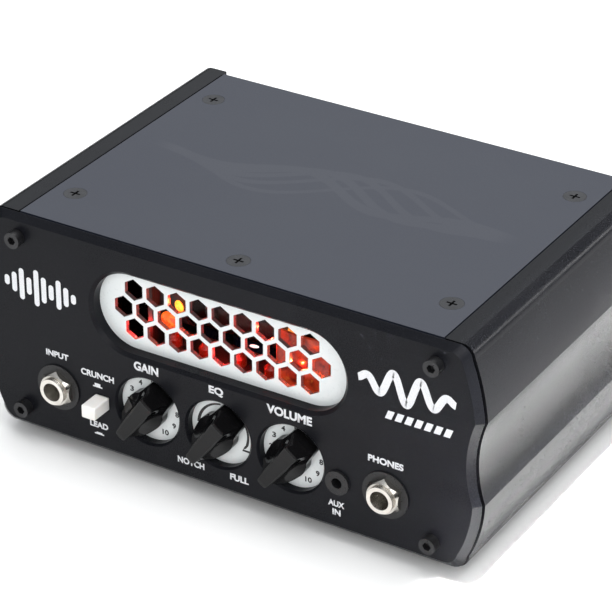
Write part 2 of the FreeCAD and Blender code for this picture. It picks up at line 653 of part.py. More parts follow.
kb = knob_ring("knob_base_ring", TEARDROP, 0.0, ("knob_tip", 0.776, 0), ("knob_tail", 1.0, 0), ("knob_waist", 0.985, 0),
               ("knob_tail_w", 1.0, 0), ("knob_tip_w", 0.95, 0), 0.0)
ks = knob_ring("knob_skirt_ring", TEARDROP, -val("knob_skirt_h"), ("knob_tip", 0.785, 0), ("knob_tail", 0.99, 0), ("knob_waist", 1.0, 0),
               ("knob_tail_w", 0.99, 0), ("knob_tip_w", 0.95, 0), 0.0)
km = knob_ring("knob_beak_ring", TEARDROP, -val("knob_beak_h"), ("knob_tip", 0.948, 0), ("knob_tail", 0.985, 0), ("knob_waist", 1.0, 0),
               ("knob_tail_w", 0.98, 0), ("knob_tip_w", 1.0, 0), 0.0)
kt = knob_ring("knob_top_ring", RIDGE, -(val("knob_h")), ("knob_tip", 1.0, 0), ("knob_tail", 0.94, 0), ("knob_waist", 1.0, 0),
               ("knob_ridge_w", 1.0, 0), ("knob_tip_w", 1.0, 0), val("knob_tilt"))
loft = doc.addObject("Part::Loft", "knob_loft")
loft.Sections = [kb, ks, km, kt]
loft.Solid = True
loft.Ruled = True
pocket_tool = doc.addObject("Part::Cylinder", "knob_pocket_tool")
bind(pocket_tool, "Radius", "knob_pocket_r")
bind(pocket_tool, "Height", ("knob_pocket", 1.0, 1.0))
pocket_tool.Placement = Placement(Vector(0, 1.0, 0), ALONG["-y"])
bore_tool = doc.addObject("Part::Cylinder", "knob_bore_tool")
bind(bore_tool, "Radius", ("shaft_r", 1.0, 0.01))
bind(bore_tool, "Height", 8.6)
bore_tool.Placement = Placement(Vector(0, 1.0, 0), ALONG["-y"])
KNOB_TURN = 37.0
for n, k in DIALS:
    x, z = pot_x(k), pot_z()
    kn = cut(n + "_knob_cut", loft, [pocket_tool, bore_tool])
    kn.Placement = Placement(Vector(x, fy(val("knob_base_y")), fz(z)), Rotation(Vector(0, 1, 0), KNOB_TURN))
    node(n + "_knob", kn)
    shaft = cyl(n + "_shaft_rod", "shaft_r", "shaft_len", x, -3.1, z, "+y")
    node(n + "_shaft", shaft)
    can = cyl(n + "_pot_can", "pot_r", "pot_len", x, 4.98, z, "+y")
    bush = cyl(n + "_pot_bush", "bush_r", "bush_len", x, 0.28, z, "+y")
    bore = cyl(n + "_pot_bore", "bush_bore_r", 11.2, x, -0.72, z, "+y")
    tab = box(n + "_pot_tab", 10.0, 3.0, 5.0, x, 8.3, z - 12.4)
    node(n + "_pot", cut(n + "_pot_bored", fuse(n + "_pot_solid", [can, bush, tab]), [bore]))
nuts = []
for n, k in DIALS:
    x, z = pot_x(k), pot_z()
    h = hexa("pot_nut_hex", "pot_nut_r", "pot_nut_t", x, 3.28, z, "-y")
    nuts.append(cut("pot_nut_one", h, [cyl("pot_nut_bore", ("bush_r", 1.0, 0.02), 5.0, x, 1.0, z, "+y")]))
node("pot_nuts", group("pot_nuts_set", nuts))

# ---------------------------------------------------------------- channel button and its switch
bx, bz = val("button_x"), val("button_z")
cap = box("button_cap_block", "button_w", ("button_out", 1.0, 1.9), "button_hh", bx, -val("button_out"), bz - val("button_hh") / 2.0)
cap_r = rounded("button_cap_soft", cap, 0.55, lambda e: e.BoundBox.YMin < fy(-val("button_out")) + 0.01)
node("channel_button", cap_r)
node("switch_plunger", box("plunger_bar", 3.0, 7.4, 3.0, bx, 1.92, bz - 1.5))
sw = box("switch_block", 7.0, 7.6, 8.4, bx, 7.0, bz - 4.2)
node("channel_switch", cut("switch_bored", sw, [box("switch_well", 3.6, 6.0, 3.6, bx, 6.5, bz - 1.8)]))

# ---------------------------------------------------------------- front jacks
bushes, jnuts, washers = [], [], []
jz = val("jack_z")
for n, alias in (("input", "input_x"), ("phones", "phones_x")):
    x = val(alias)
    housing = box(n + "_housing_block", "jack_w", "jack_len", "jack_hh", x, 2.3, jz - val("jack_hh") / 2.0)
    hole = cyl(n + "_housing_hole", "jack_bore_r", 18.0, x, 2.0, jz, "+y")
    seat = cyl(n + "_housing_seat", ("jack_bush_r", 1.0, 0.0), 3.0, x, 2.0, jz, "+y")
    node(n + "_jack", cut(n + "_housing", housing, [hole, seat]))
    b = cyl(n + "_bush_out", "jack_bush_r", ("jack_out", 1.0, 4.9), x, -val("jack_out"), jz, "+y")
    bushes.append(cut(n + "_bushing", b, [cyl(n + "_bush_bore", "jack_bore_r", 12.0, x, -6.0, jz, "+y")]))
    w = cyl(n + "_washer_disc", "washer_r", "washer_t", x, 0.0, jz, "-y")
    washers.append(cut(n + "_washer", w, [cyl(n + "_washer_bore", ("jack_bush_r", 1.0, 0.1), 4.0, x, -2.0, jz, "+y")]))
    h = hexa(n + "_nut_hex", "nut_circ_r", "nut_t", x, -0.6, jz, "-y", 90.0)
    dome = cone(n + "_nut_dome", 6.9, 5.2, "nut_t", x, -0.6, jz, "-y")
    com = doc.addObject("Part::MultiCommon", n + "_nut_form")
    com.Shapes = [h, dome]
    jnuts.append(cut(n + "_nut", com, [cyl(n + "_nut_bore", ("jack_bush_r", 1.0, 0.02), 6.0, x, -4.0, jz, "+y")]))
node("front_jack_bushings", group("front_bushing_set", bushes))
node("front_jack_nuts", group("front_nut_set", jnuts))
node("front_jack_washers", group("front_washer_set", washers))
x, z = val("aux_x"), val("aux_z")
aux = fuse("aux_solid", [cyl("aux_ring", "aux_ring_r", "aux_ring_t", x, 0.0, z, "-y"), cyl("aux_neck", 2.9, 2.4, x, 0.0, z, "+y"),
                         box("aux_block", 8.0, 12.0, 9.0, x + 0.1, 2.3, z - 4.5)])
node("aux_jack", cut("aux_bored", aux, [cyl("aux_hole", "aux_bore_r", 13.0, x, -2.0, z, "+y")]))

# ---------------------------------------------------------------- screws
def socket_screw(name, x, y, z, length):
    head = cyl(name + "_head", "cap_r", "cap_h", x, y, z, "-y")
    shank = cyl(name + "_shank", ("m3_r", 1.0, -0.3), length, x, y, z, "+y")
    tool = hexa(name + "_socket", "socket_r", 1.8, x, y - val("cap_h") - 0.02, z, "+y")
    return cut(name, fuse(name + "_solid", [head, shank]), [tool])


items = []
for sx in (-1, 1):
    for zz in ("port_lo_z", "port_hi_z"):
        items.append(socket_screw("panel_screw", sx * val("port_x"), -0.02, val(zz), 9.0))
node("front_panel_screws", group("front_panel_screw_set", items))


def cross_tools(name, x, y, z, depth, way):
    """Cross recess: two crossed bars."""
    out = []
    for a, b in ((3.6, 0.75), (0.75, 3.6)):
        if way == "z":
            out.append(box(name + "_bar", a, b, depth, x, y - b / 2.0, z - depth if depth > 0 else z))
        else:
            out.append(box(name + "_bar", a, depth, b, x, y, z - b / 2.0))
    return out


items = []
for x, y in top_screw_places():
    head = cone("cover_screw_head", 1.9, "csk_r", "csk_h", x, y, H - val("csk_h") - 0.08, "+z")
    rim = cyl("cover_screw_rim", "csk_r", 0.06, x, y, H - 0.08, "+z")
    ln = 4.6 if abs(x) > 1 else 3.0
    shank = cyl("cover_screw_shank", ("m3_r", 1.0, -0.05), ln, x, y, H - val("csk_h") - ln + 0.3, "+z")
    items.append(cut("cover_screw", fuse("cover_screw_solid", [head, rim, shank]), cross_tools("cover_screw", x, y, H + 0.05, 1.3, "z")))
node("top_cover_screws", group("top_cover_screw_set", items))
items = []
for s, y in SCREWS_TOP:
    x = s * val("cover_screw_x")
    head = cone("under_screw_head", "csk_r", 1.9, "csk_h", x, val(y), 0.08, "+z")
    shank = cyl("under_screw_shank", ("m3_r", 1.0, -0.05), 4.4, x, val(y), 1.6, "+z")
    bars = [box("under_bar", 3.6, 0.75, 1.2, x, val(y) - 0.375, 0.0), box("under_bar", 0.75, 3.6, 1.2, x, val(y) - 1.8, 0.0)]
    items.append(cut("under_screw", fuse("under_screw_solid", [head, shank]), bars))
node("bottom_cover_screws", group("bottom_cover_screw_set", items))

# ---------------------------------------------------------------- rear panel and what it carries
RY = val("rear_y")
rear = new_body("rear_panel_body")
s = new_sketch(rear, "rear_outline")
def rear_side(sign):
    """Points up one side of the rear panel, just inside the rail's skin."""
    return [(("rear_half", float(sign), 0.0), 2.6), (("skin_lo_x", float(sign), -0.4 * sign), 4.9),
            (("skin_ridge_x", float(sign), -0.45 * sign), "ridge_lo_z"), (("skin_waist_x", float(sign), -0.45 * sign), "waist_z"),
            (("skin_ridge_x", float(sign), -0.45 * sign), "ridge_hi_z"), (("skin_hi_x", float(sign), -0.4 * sign), 72.7),
            (("rear_half", float(sign), 0.0), 75.0)]
side = rear_side(1) + rear_side(-1)[::-1]
outline(s, side, [None] * len(side))
pad(rear, s, "rear_t")
REAR_JACKS = [("speaker", 50.0, 40.0), ("send", 8.0, 40.0), ("return", -14.0, 40.0)]
s = new_sketch(rear, "rear_holes")
for n, x, z in REAR_JACKS:
    disc(s, x, z, ("jack_bush_r", 1.0, 0.15))
for sx in (-1, 1):
    for z in ("port_lo_z", "port_hi_z"):
        disc(s, ("port_x", float(sx), 0.0), z, "m3_clear_r")
disc(s, -40.0, 40.0, 5.7)
pocket(rear, s, 10.0, True, True)
s = new_sketch(rear, "rear_switch_hole")
rect(s, -62.0, 40.0, ("switch_w", 1.0, -1.6), ("switch_hh", 1.0, -1.6))
pocket(rear, s, 10.0, True, True)
s = new_sketch(rear, "rear_vents")
for k in range(13):
    rect(s, -36.0 + 6.0 * k, 62.0, 2.6, 13.0)
pocket(rear, s, 10.0, True, True)
rear.Placement = Placement(Vector(0, fy(RY), fz(0)), Rotation())
doc.recompute()
node("rear_panel", rear)
bushes, jnuts, washers = [], [], []
for n, x, z in REAR_JACKS:
    housing = box(n + "_housing_block", "jack_w", "jack_len", "jack_hh", x, RY - 0.05 - val("jack_len"), z - val("jack_hh") / 2.0)
    hole = cyl(n + "_housing_hole", "jack_bore_r", 19.0, x, RY + 0.5, z, "-y")
    seat = cyl(n + "_housing_seat", ("jack_bush_r", 1.0, 0.0), 3.0, x, RY + 0.4, z, "-y")
    node(n + "_jack", cut(n + "_housing", housing, [hole, seat]))
    b = cyl(n + "_bush_out", "jack_bush_r", 8.7, x, RY - 2.6, z, "+y")
    bushes.append(cut(n + "_bushing", b, [cyl(n + "_bush_bore", "jack_bore_r", 12.0, x, RY - 4.0, z, "+y")]))
    w = cyl(n + "_washer_disc", 7.0, "washer_t", x, RY + val("rear_t"), z, "+y")
    washers.append(cut(n + "_washer", w, [cyl(n + "_washer_bore", ("jack_bush_r", 1.0, 0.1), 4.0, x, RY, z, "+y")]))
    h = hexa(n + "_nut_hex", "nut_circ_r", "nut_t", x, RY + val("rear_t") + 0.6, z, "+y", 90.0)
    jnuts.append(cut(n + "_nut", h, [cyl(n + "_nut_bore", ("jack_bush_r", 1.0, 0.02), 6.0, x, RY, z, "+y")]))
node("rear_jack_bushings", group("rear_bushing_set", bushes))
node("rear_jack_hardware", group("rear_hardware_set", jnuts + washers))

# rocker power switch: rim outside, body inside, the rocker swings on a cross axis
sx0, sz0 = -62.0, 40.0
frame_o = fuse("power_frame_solid", [
    box("power_rim", "switch_w", 1.6, "switch_hh", sx0, RY + val("rear_t"), sz0 - val("switch_hh") / 2.0),
    box("power_body", ("switch_w", 1.0, -2.0), 17.9, ("switch_hh", 1.0, -2.0), sx0, RY - 16.0, sz0 - val("switch_hh") / 2.0 + 1.0)])
node("power_switch", cut("power_frame", frame_o, [box("power_well", ("rocker_w", 1.0, -0.6), 9.4, ("rocker_hh", 1.0, -0.6), sx0, RY - 5.2, sz0 - val("rocker_hh") / 2.0 + 0.3)]))
rk = new_body("power_rocker_body")
s = new_sketch(rk, "rocker_profile", "YZ_Plane")
outline(s, [(-1.4, -7.5), (1.6, -7.5), (0.2, 0.0), (3.5, 7.4), (-1.4, 7.5), (-3.6, 0.0)], [None] * 6)
f = pad(rk, s, 9.9, False)
f.Midplane = True
rk.Placement = Placement(Vector(sx0, fy(RY + 1.6), fz(sz0)), Rotation())
doc.recompute()
node("power_rocker", rk)

# low-voltage inlet
dcx, dcz = -40.0, 40.0
dc = fuse("dc_solid", [cyl("dc_ring", 7.2, 1.6, dcx, RY + val("rear_t"), dcz, "+y"), cyl("dc_neck", 5.5, 14.0, dcx, RY - 12.0, dcz, "+y")])
dcb = cut("dc_bored", dc, [cyl("dc_well", 3.2, 12.0, dcx, RY + 6.0, dcz, "-y")])
node("dc_inlet", fuse("dc_inlet_solid", [dcb, cyl("dc_pin_rod", 1.05, 9.0, dcx, RY - 6.5, dcz, "+y")]))
items = []
for sx in (-1, 1):
    for zz in ("port_lo_z", "port_hi_z"):
        head = cyl("rear_screw_head", "pan_r", "pan_h", sx * val("port_x"), RY + val("rear_t"), val(zz), "+y")
        shank = cyl("rear_screw_shank", ("m3_r", 1.0, -0.3), 9.0, sx * val("port_x"), RY + val("rear_t"), val(zz), "-y")
        bars = cross_tools("rear_screw", sx * val("port_x"), RY + val("rear_t") + 0.9, val(zz), 1.3, "y")
        items.append(cut("rear_screw", fuse("rear_screw_solid", [head, shank]), bars))
node("rear_panel_screws", group("rear_panel_screw_set", items))

# ---------------------------------------------------------------- boards and the parts on them
node("control_board", box("control_board_slab", 94.0, "board_t", 27.0, -4.0, 14.8, 6.0))
mb = box("main_board_slab", "board_w", "board_len", "board_t", 0.0, 28.0, val("board_z"))
node("main_board", cut("main_board_drilled", mb, [cyl("board_hole", 1.6, 6.0, x, y, 8.0, "+z") for x, y in STAND]))
items = []
for x, y in STAND:
    post = cyl("standoff_post", "standoff_r", val("board_z") - val("cover_t"), x, y, val("cover_t"), "+z")
    items.append(cut("standoff_one", post, [cyl("standoff_bore", 1.25, 9.0, x, y, val("cover_t") + 2.0, "+z")]))
node("board_standoffs", group("standoff_set", items))
items = []
for x, y in STAND:
    head = cyl("board_screw_head", 2.6, 1.8, x, y, val("board_z") + val("board_t"), "+z")
    shank = cyl("board_screw_shank", 1.2, 6.4, x, y, val("board_z") + val("board_t"), "-z")
    items.append(cut("board_screw", fuse("board_screw_solid", [head, shank]), [box("board_bar", 3.6, 0.75, 2.0, x, y - 0.375, val("board_z") + 2.6), box("board_bar", 0.75, 3.6, 2.0, x, y - 1.8, val("board_z") + 2.6)]))
node("board_screws", group("board_screw_set", items))

BT = val("board_z") + val("board_t")
# preamp tube, lying across behind the window: glass, electrodes, base and socket
ty, tz, tx = 25.0, 53.5, -22.0
glass_out = fuse("tube_glass_solid", [cyl("tube_wall", "tube_r", ("tube_len", 1.0, -8.0), tx, ty, tz, "+x"),
                                      cone("tube_shoulder", "tube_r", 4.0, 6.0, tx + val("tube_len") - 8.0, ty, tz, "+x"),
                                      cyl("tube_tip", 2.2, 8.6, tx + val("tube_len") - 8.0, ty, tz, "+x")])
glass_in = fuse("tube_glass_void", [cyl("tube_void", ("tube_r", 1.0, -1.0), ("tube_len", 1.0, -9.5), tx + 1.0, ty, tz, "+x"),
                                    cone("tube_void_shoulder", ("tube_r", 1.0, -1.0), 3.6, 4.6, tx + val("tube_len") - 8.5, ty, tz, "+x")])
node("tube_glass", cut("tube_glass_hollow", glass_out, [glass_in]))
plates = fuse("tube_plates_solid", [box("tube_plate_a", 22.0, 8.6, 6.0, tx + 19.0, ty - 4.3, tz - 7.0), box("tube_plate_b", 22.0, 8.6, 6.0, tx + 19.0, ty - 4.3, tz + 1.0),
                                    cyl("tube_mica_1", 8.6, 0.6, tx + 6.4, ty, tz, "+x"), cyl("tube_mica_2", 8.6, 0.6, tx + 31.0, ty, tz, "+x"),
                                    box("tube_rod_1", 26.0, 1.0, 1.0, tx + 18.0, ty - 0.5, tz - 0.5), box("tube_post", 25.0, 1.0, 14.0, tx + 18.9, ty - 0.5, tz - 7.0)])
node("tube_electrodes", plates)
node("tube_heater", fuse("tube_heater_solid", [cyl("tube_heat_1", 1.0, 5.0, tx + 31.7, ty, tz - 4.0, "+x"), cyl("tube_heat_2", 1.0, 5.0, tx + 31.7, ty, tz + 4.0, "+x"),
                                               box("tube_heat_bar", 1.2, 1.2, 9.0, tx + 36.0, ty - 0.6, tz - 4.5)]))
sock = cyl("tube_socket_cup", "socket_out_r", "socket_len", tx - 0.1, ty, tz, "-x")
node("tube_socket", cut("tube_socket_bored", sock, [cyl("tube_socket_hole", 3.0, 20.0, tx + 2.0, ty, tz, "-x")]))
node("tube_board", box("tube_board_slab", 1.6, 28.0, 37.0, tx - 10.2, 10.0, 35.0))
node("tube_bracket", fuse("tube_bracket_solid", [box("tube_bracket_foot", 12.0, 14.0, 1.5, tx - 17.1, 28.4, BT), box("tube_bracket_wall", 1.5, 14.0, 50.0, tx - 11.85, 28.4, BT)]))
# glow lamps on a strip under the tube
node("glow_board", box("glow_board_slab", 74.0, 14.0, 1.6, 6.8, 9.0, 37.4))
items = []
for gx in (-26.0, -14.0, -2.0, 10.0, 24.0, 37.0):
    items.append(fuse("glow_lamp", [cyl("glow_stub", "led_r", 2.6, gx, 14.0, 39.0, "+z"), cone("glow_dome", "led_r", 1.2, 1.6, gx, 14.0, 41.6, "+z")]))
node("glow_lamps", group("glow_lamp_set", items))
node("glow_bracket", fuse("glow_bracket_solid", [box("glow_arm", 6.0, 12.0, 1.4, 38.0, 20.0, 35.9), box("glow_leg", 6.0, 1.4, 26.2, 38.0, 30.6, BT), box("glow_link", 6.0, 2.0, 1.4, 38.0, 30.0, 35.9)]))

# output stage: finned heatsink, module, reservoir capacitors, coils, chips, header
hs = [box("sink_base", 44.0, 4.0, 40.0, 26.0, 92.0, BT)]
for k in range(8):
    hs.append(box("sink_fin", 1.6, 9.0, 40.0, 26.0 - 21.0 + 6.0 * k, 83.0, BT))
node("heatsink", fuse("heatsink_solid", hs))
node("power_module", box("power_module_block", 20.0, 4.6, 17.0, 26.0, 78.2, BT + 6.0))
items = []
for cx, cy in ((-44.0, 52.0), (-44.0, 72.0), (-26.0, 62.0), (-26.0, 82.0)):
    items.append(cyl("reservoir_can", "cap_big_r", "cap_big_h", cx, cy, BT, "+z"))
node("reservoir_capacitors", group("reservoir_set", items))
items = []
for cx, cy in ((0.0, 50.0), (22.0, 50.0)):
    ring = cyl("coil_ring", 8.5, 9.0, cx, cy, BT, "+z")
    items.append(cut("coil_one", ring, [cyl("coil_hole", 3.0, 12.0, cx, cy, BT - 1.0, "+z")]))
node("output_coils", group("coil_set", items))
items = []
for cx, cy in ((-8.0, 68.0), (8.0, 68.0), (0.0, 34.0), (16.0, 34.0)):
    items.append(box("op_chip", 10.0, 6.4, 3.4, cx, cy, BT + 0.2))
node("op_amp_chips", group("chip_set", items))

# ---------------------------------------------------------------- feet
items, pins = [], []
for x, y in FEET:
    body_f = fuse("foot_solid", [cone("foot_cone", ("foot_r", 1.0, -0.8), "foot_r", 3.4, x, y, -4.0, "+z"), cyl("foot_top", "foot_r", 0.58, x, y, -0.6, "+z")])
    items.append(cut("foot_one", body_f, [cyl("foot_well", 3.3, 2.6, x, y, -4.1, "+z"), cyl("foot_bore", 1.6, 6.0, x, y, -4.0, "+z")]))
    head = cyl("foot_screw_head", 2.7, 1.2, x, y, -1.5, "-z")
    shank = cyl("foot_screw_shank", 1.4, 6.5, x, y, -1.5, "+z")
    pins.append(fuse("foot_screw_one", [head, shank]))
node("rubber_feet", group("rubber_feet_set", items))
node("foot_screws", group("foot_screw_set", pins))

# ---------------------------------------------------------------- checks and export
doc.recompute()
bad = []
for o in doc.Objects:
    if "Invalid" in o.State or "Error" in o.State:
        bad.append("%s state %s" % (o.Name, o.State))
for name, o in NODES:
    sh = o.Shape
    if sh.isNull() or not sh.isValid() or not sh.Solids:
        bad.append("%s has a bad shape" % name)
if bad:
    for b in bad:
        print("BAD", b)
    raise RuntimeError("model has failed objects")
os.makedirs("parts", exist_ok=True)
low = [1e9] * 3
high = [-1e9] * 3
for name, o in NODES:
    o.Shape.exportStep("parts/%s.step" % name)
    bb = o.Shape.BoundBox
    for i, (a, b) in enumerate(((bb.XMin, bb.XMax), (bb.YMin, bb.YMax), (bb.ZMin, bb.ZMax))):
        low[i] = min(low[i], a)
        high[i] = max(high[i], b)
print("%d nodes" % len(NODES))
print("box", [round(v, 3) for v in low], [round(v, 3) for v in high])
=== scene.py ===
import json
import math
import bpy
import bmesh
from mathutils import Vector, Matrix


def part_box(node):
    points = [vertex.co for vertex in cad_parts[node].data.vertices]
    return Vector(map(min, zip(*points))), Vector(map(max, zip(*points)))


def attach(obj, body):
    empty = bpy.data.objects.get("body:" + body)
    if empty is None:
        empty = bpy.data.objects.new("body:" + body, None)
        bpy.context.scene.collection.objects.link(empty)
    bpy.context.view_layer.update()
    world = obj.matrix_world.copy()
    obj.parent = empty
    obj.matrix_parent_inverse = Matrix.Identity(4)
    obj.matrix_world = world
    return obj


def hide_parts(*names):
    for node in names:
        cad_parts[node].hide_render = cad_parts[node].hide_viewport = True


# Small lunchbox guitar amp head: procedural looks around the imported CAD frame, in metres.
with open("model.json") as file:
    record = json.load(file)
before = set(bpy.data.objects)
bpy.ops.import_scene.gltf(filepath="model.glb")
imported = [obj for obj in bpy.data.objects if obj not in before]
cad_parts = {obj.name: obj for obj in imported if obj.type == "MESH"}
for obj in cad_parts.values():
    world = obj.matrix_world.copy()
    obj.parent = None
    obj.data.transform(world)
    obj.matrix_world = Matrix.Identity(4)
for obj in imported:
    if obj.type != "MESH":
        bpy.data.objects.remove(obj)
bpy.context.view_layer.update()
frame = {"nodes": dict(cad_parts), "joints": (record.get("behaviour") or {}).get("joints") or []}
NODES = frame["nodes"]
MM = 0.001

front_lo, front_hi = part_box("front_panel")
FRONT = front_lo.y                      # outer plane of the front panel
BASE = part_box("bottom_cover")[0].z      # underside of the case
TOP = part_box("top_cover")[1].z
JOINTS = {j["name"]: j for j in frame["joints"]}


def at(x, y, z):
    """Local millimetres (x from the middle, y behind the front plane, z above the case underside) to the row frame."""
    return Vector((x * MM, FRONT + y * MM, BASE + z * MM))


# ------------------------------------------------------------------ node helpers
class Mat:
    def __init__(self, name):
        self.m = bpy.data.materials.new(name)
        self.m.use_nodes = True
        self.nt = self.m.node_tree
        self.bsdf = self.nt.nodes["Principled BSDF"]
        self._tc = None

    def node(self, kind, **sets):
        n = self.nt.nodes.new(kind)
        for k, v in sets.items():
            setattr(n, k, v)
        return n

    def link(self, a, b):
        self.nt.links.new(a, b)

    @property
    def obj(self):
        if self._tc is None:
            self._tc = self.node("ShaderNodeTexCoord")
        return self._tc.outputs["Object"]

    def mapped(self, scale=(1, 1, 1), loc=(0, 0, 0), rot=(0, 0, 0)):
        n = self.node("ShaderNodeMapping")
        n.inputs["Scale"].default_value = scale
        n.inputs["Location"].default_value = loc
        n.inputs["Rotation"].default_value = rot
        self.link(self.obj, n.inputs["Vector"])
        return n.outputs["Vector"]

    def noise(self, scale, detail=2.0, rough=0.5, vec=None, distortion=0.0):
        n = self.node("ShaderNodeTexNoise")
        n.inputs["Scale"].default_value = scale
        n.inputs["Detail"].default_value = detail
        n.inputs["Roughness"].default_value = rough
        n.inputs["Distortion"].default_value = distortion
        self.link(vec if vec is not None else self.obj, n.inputs["Vector"])
        return n.outputs["Fac"]

    def voronoi(self, scale, vec=None, feature="F1"):
        n = self.node("ShaderNodeTexVoronoi", feature=feature)
        n.inputs["Scale"].default_value = scale
        self.link(vec if vec is not None else self.obj, n.inputs["Vector"])
        return n.outputs["Distance"]

    def xyz(self, vec=None):
        n = self.node("ShaderNodeSeparateXYZ")
        self.link(vec if vec is not None else self.obj, n.inputs[0])
        return n.outputs[0], n.outputs[1], n.outputs[2]

    def _put(self, v, sock):
        if isinstance(v, (int, float)):
            sock.default_value = v
        else:
            self.link(v, sock)

    def math(self, op, a, b=None, c=None, clamp=False):
        n = self.node("ShaderNodeMath", operation=op)
        n.use_clamp = clamp
        self._put(a, n.inputs[0])
        if b is not None:
            self._put(b, n.inputs[1])
        if c is not None:
            self._put(c, n.inputs[2])
        return n.outputs[0]

    def span(self, v, a0, a1, b0, b1, smooth=False):
        n = self.node("ShaderNodeMapRange")
        if smooth:
            n.interpolation_type = "SMOOTHSTEP"
        self.link(v, n.inputs["Value"])
        for k, x in (("From Min", a0), ("From Max", a1), ("To Min", b0), ("To Max", b1)):
            n.inputs[k].default_value = x
        return n.outputs["Result"]

    def mix(self, fac, c1, c2):
        n = self.node("ShaderNodeMix", data_type="RGBA")
        self._put(fac, n.inputs[0])
        for v, i in ((c1, 6), (c2, 7)):
            if isinstance(v, tuple):
                n.inputs[i].default_value = (*v, 1.0)
            else:
                self.link(v, n.inputs[i])
        return n.outputs[2]

    def bump(self, height, strength, distance, prev=None):
        n = self.node("ShaderNodeBump")
        n.inputs["Strength"].default_value = strength
        n.inputs["Distance"].default_value = distance
        self.link(height, n.inputs["Height"])
        if prev is not None:
            self.link(prev, n.inputs["Normal"])
        return n.outputs["Normal"]

    def set(self, **k):
        for name, v in k.items():
            name = name.replace("_", " ")
            sock = self.bsdf.inputs[name]
            if isinstance(v, (int, float)):
                sock.default_value = v
            elif isinstance(v, tuple):
                sock.default_value = (*v, 1.0) if len(v) == 3 and len(sock.default_value) == 4 else v
            else:
                self.link(v, sock)
        return self


def powder(name, dark, light, rough, ior, grain=2600, depth=0.00002, strength=0.35):
    """Fine satin powder coat: tight grain in bump, cloudy colour and roughness, and a few fine scuffs."""
    m = Mat(name)
    fine = m.noise(grain, 3.0, 0.6)
    cloud = m.noise(24.0, 4.0, 0.55)
    speck = m.span(m.noise(grain * 1.7, 1.0, 0.5), 0.60, 0.74, 0.0, 1.0)
    scratch = m.noise(60.0, 2.0, 0.5, vec=m.mapped((1, 14, 30), rot=(0.2, 0.1, 0.5)))
    scuff = m.span(scratch, 0.66, 0.75, 0.0, 1.0)
    col = m.mix(m.span(cloud, 0.3, 0.7, 0.0, 1.0), dark, light)
    col = m.mix(m.math("MULTIPLY", speck, 0.5), col, tuple(min(1.0, c * 2.6 + 0.01) for c in light))
    col = m.mix(m.math("MULTIPLY", scuff, 0.12), col, tuple(min(1.0, c * 2.0 + 0.01) for c in light))
    r = m.math("ADD", m.span(cloud, 0.3, 0.7, rough - 0.05, rough + 0.05), m.span(fine, 0.3, 0.7, -0.04, 0.04))
    m.set(Base_Color=col, Roughness=r, IOR=ior, Normal=m.bump(fine, strength, depth))
    return m


MAT = {}


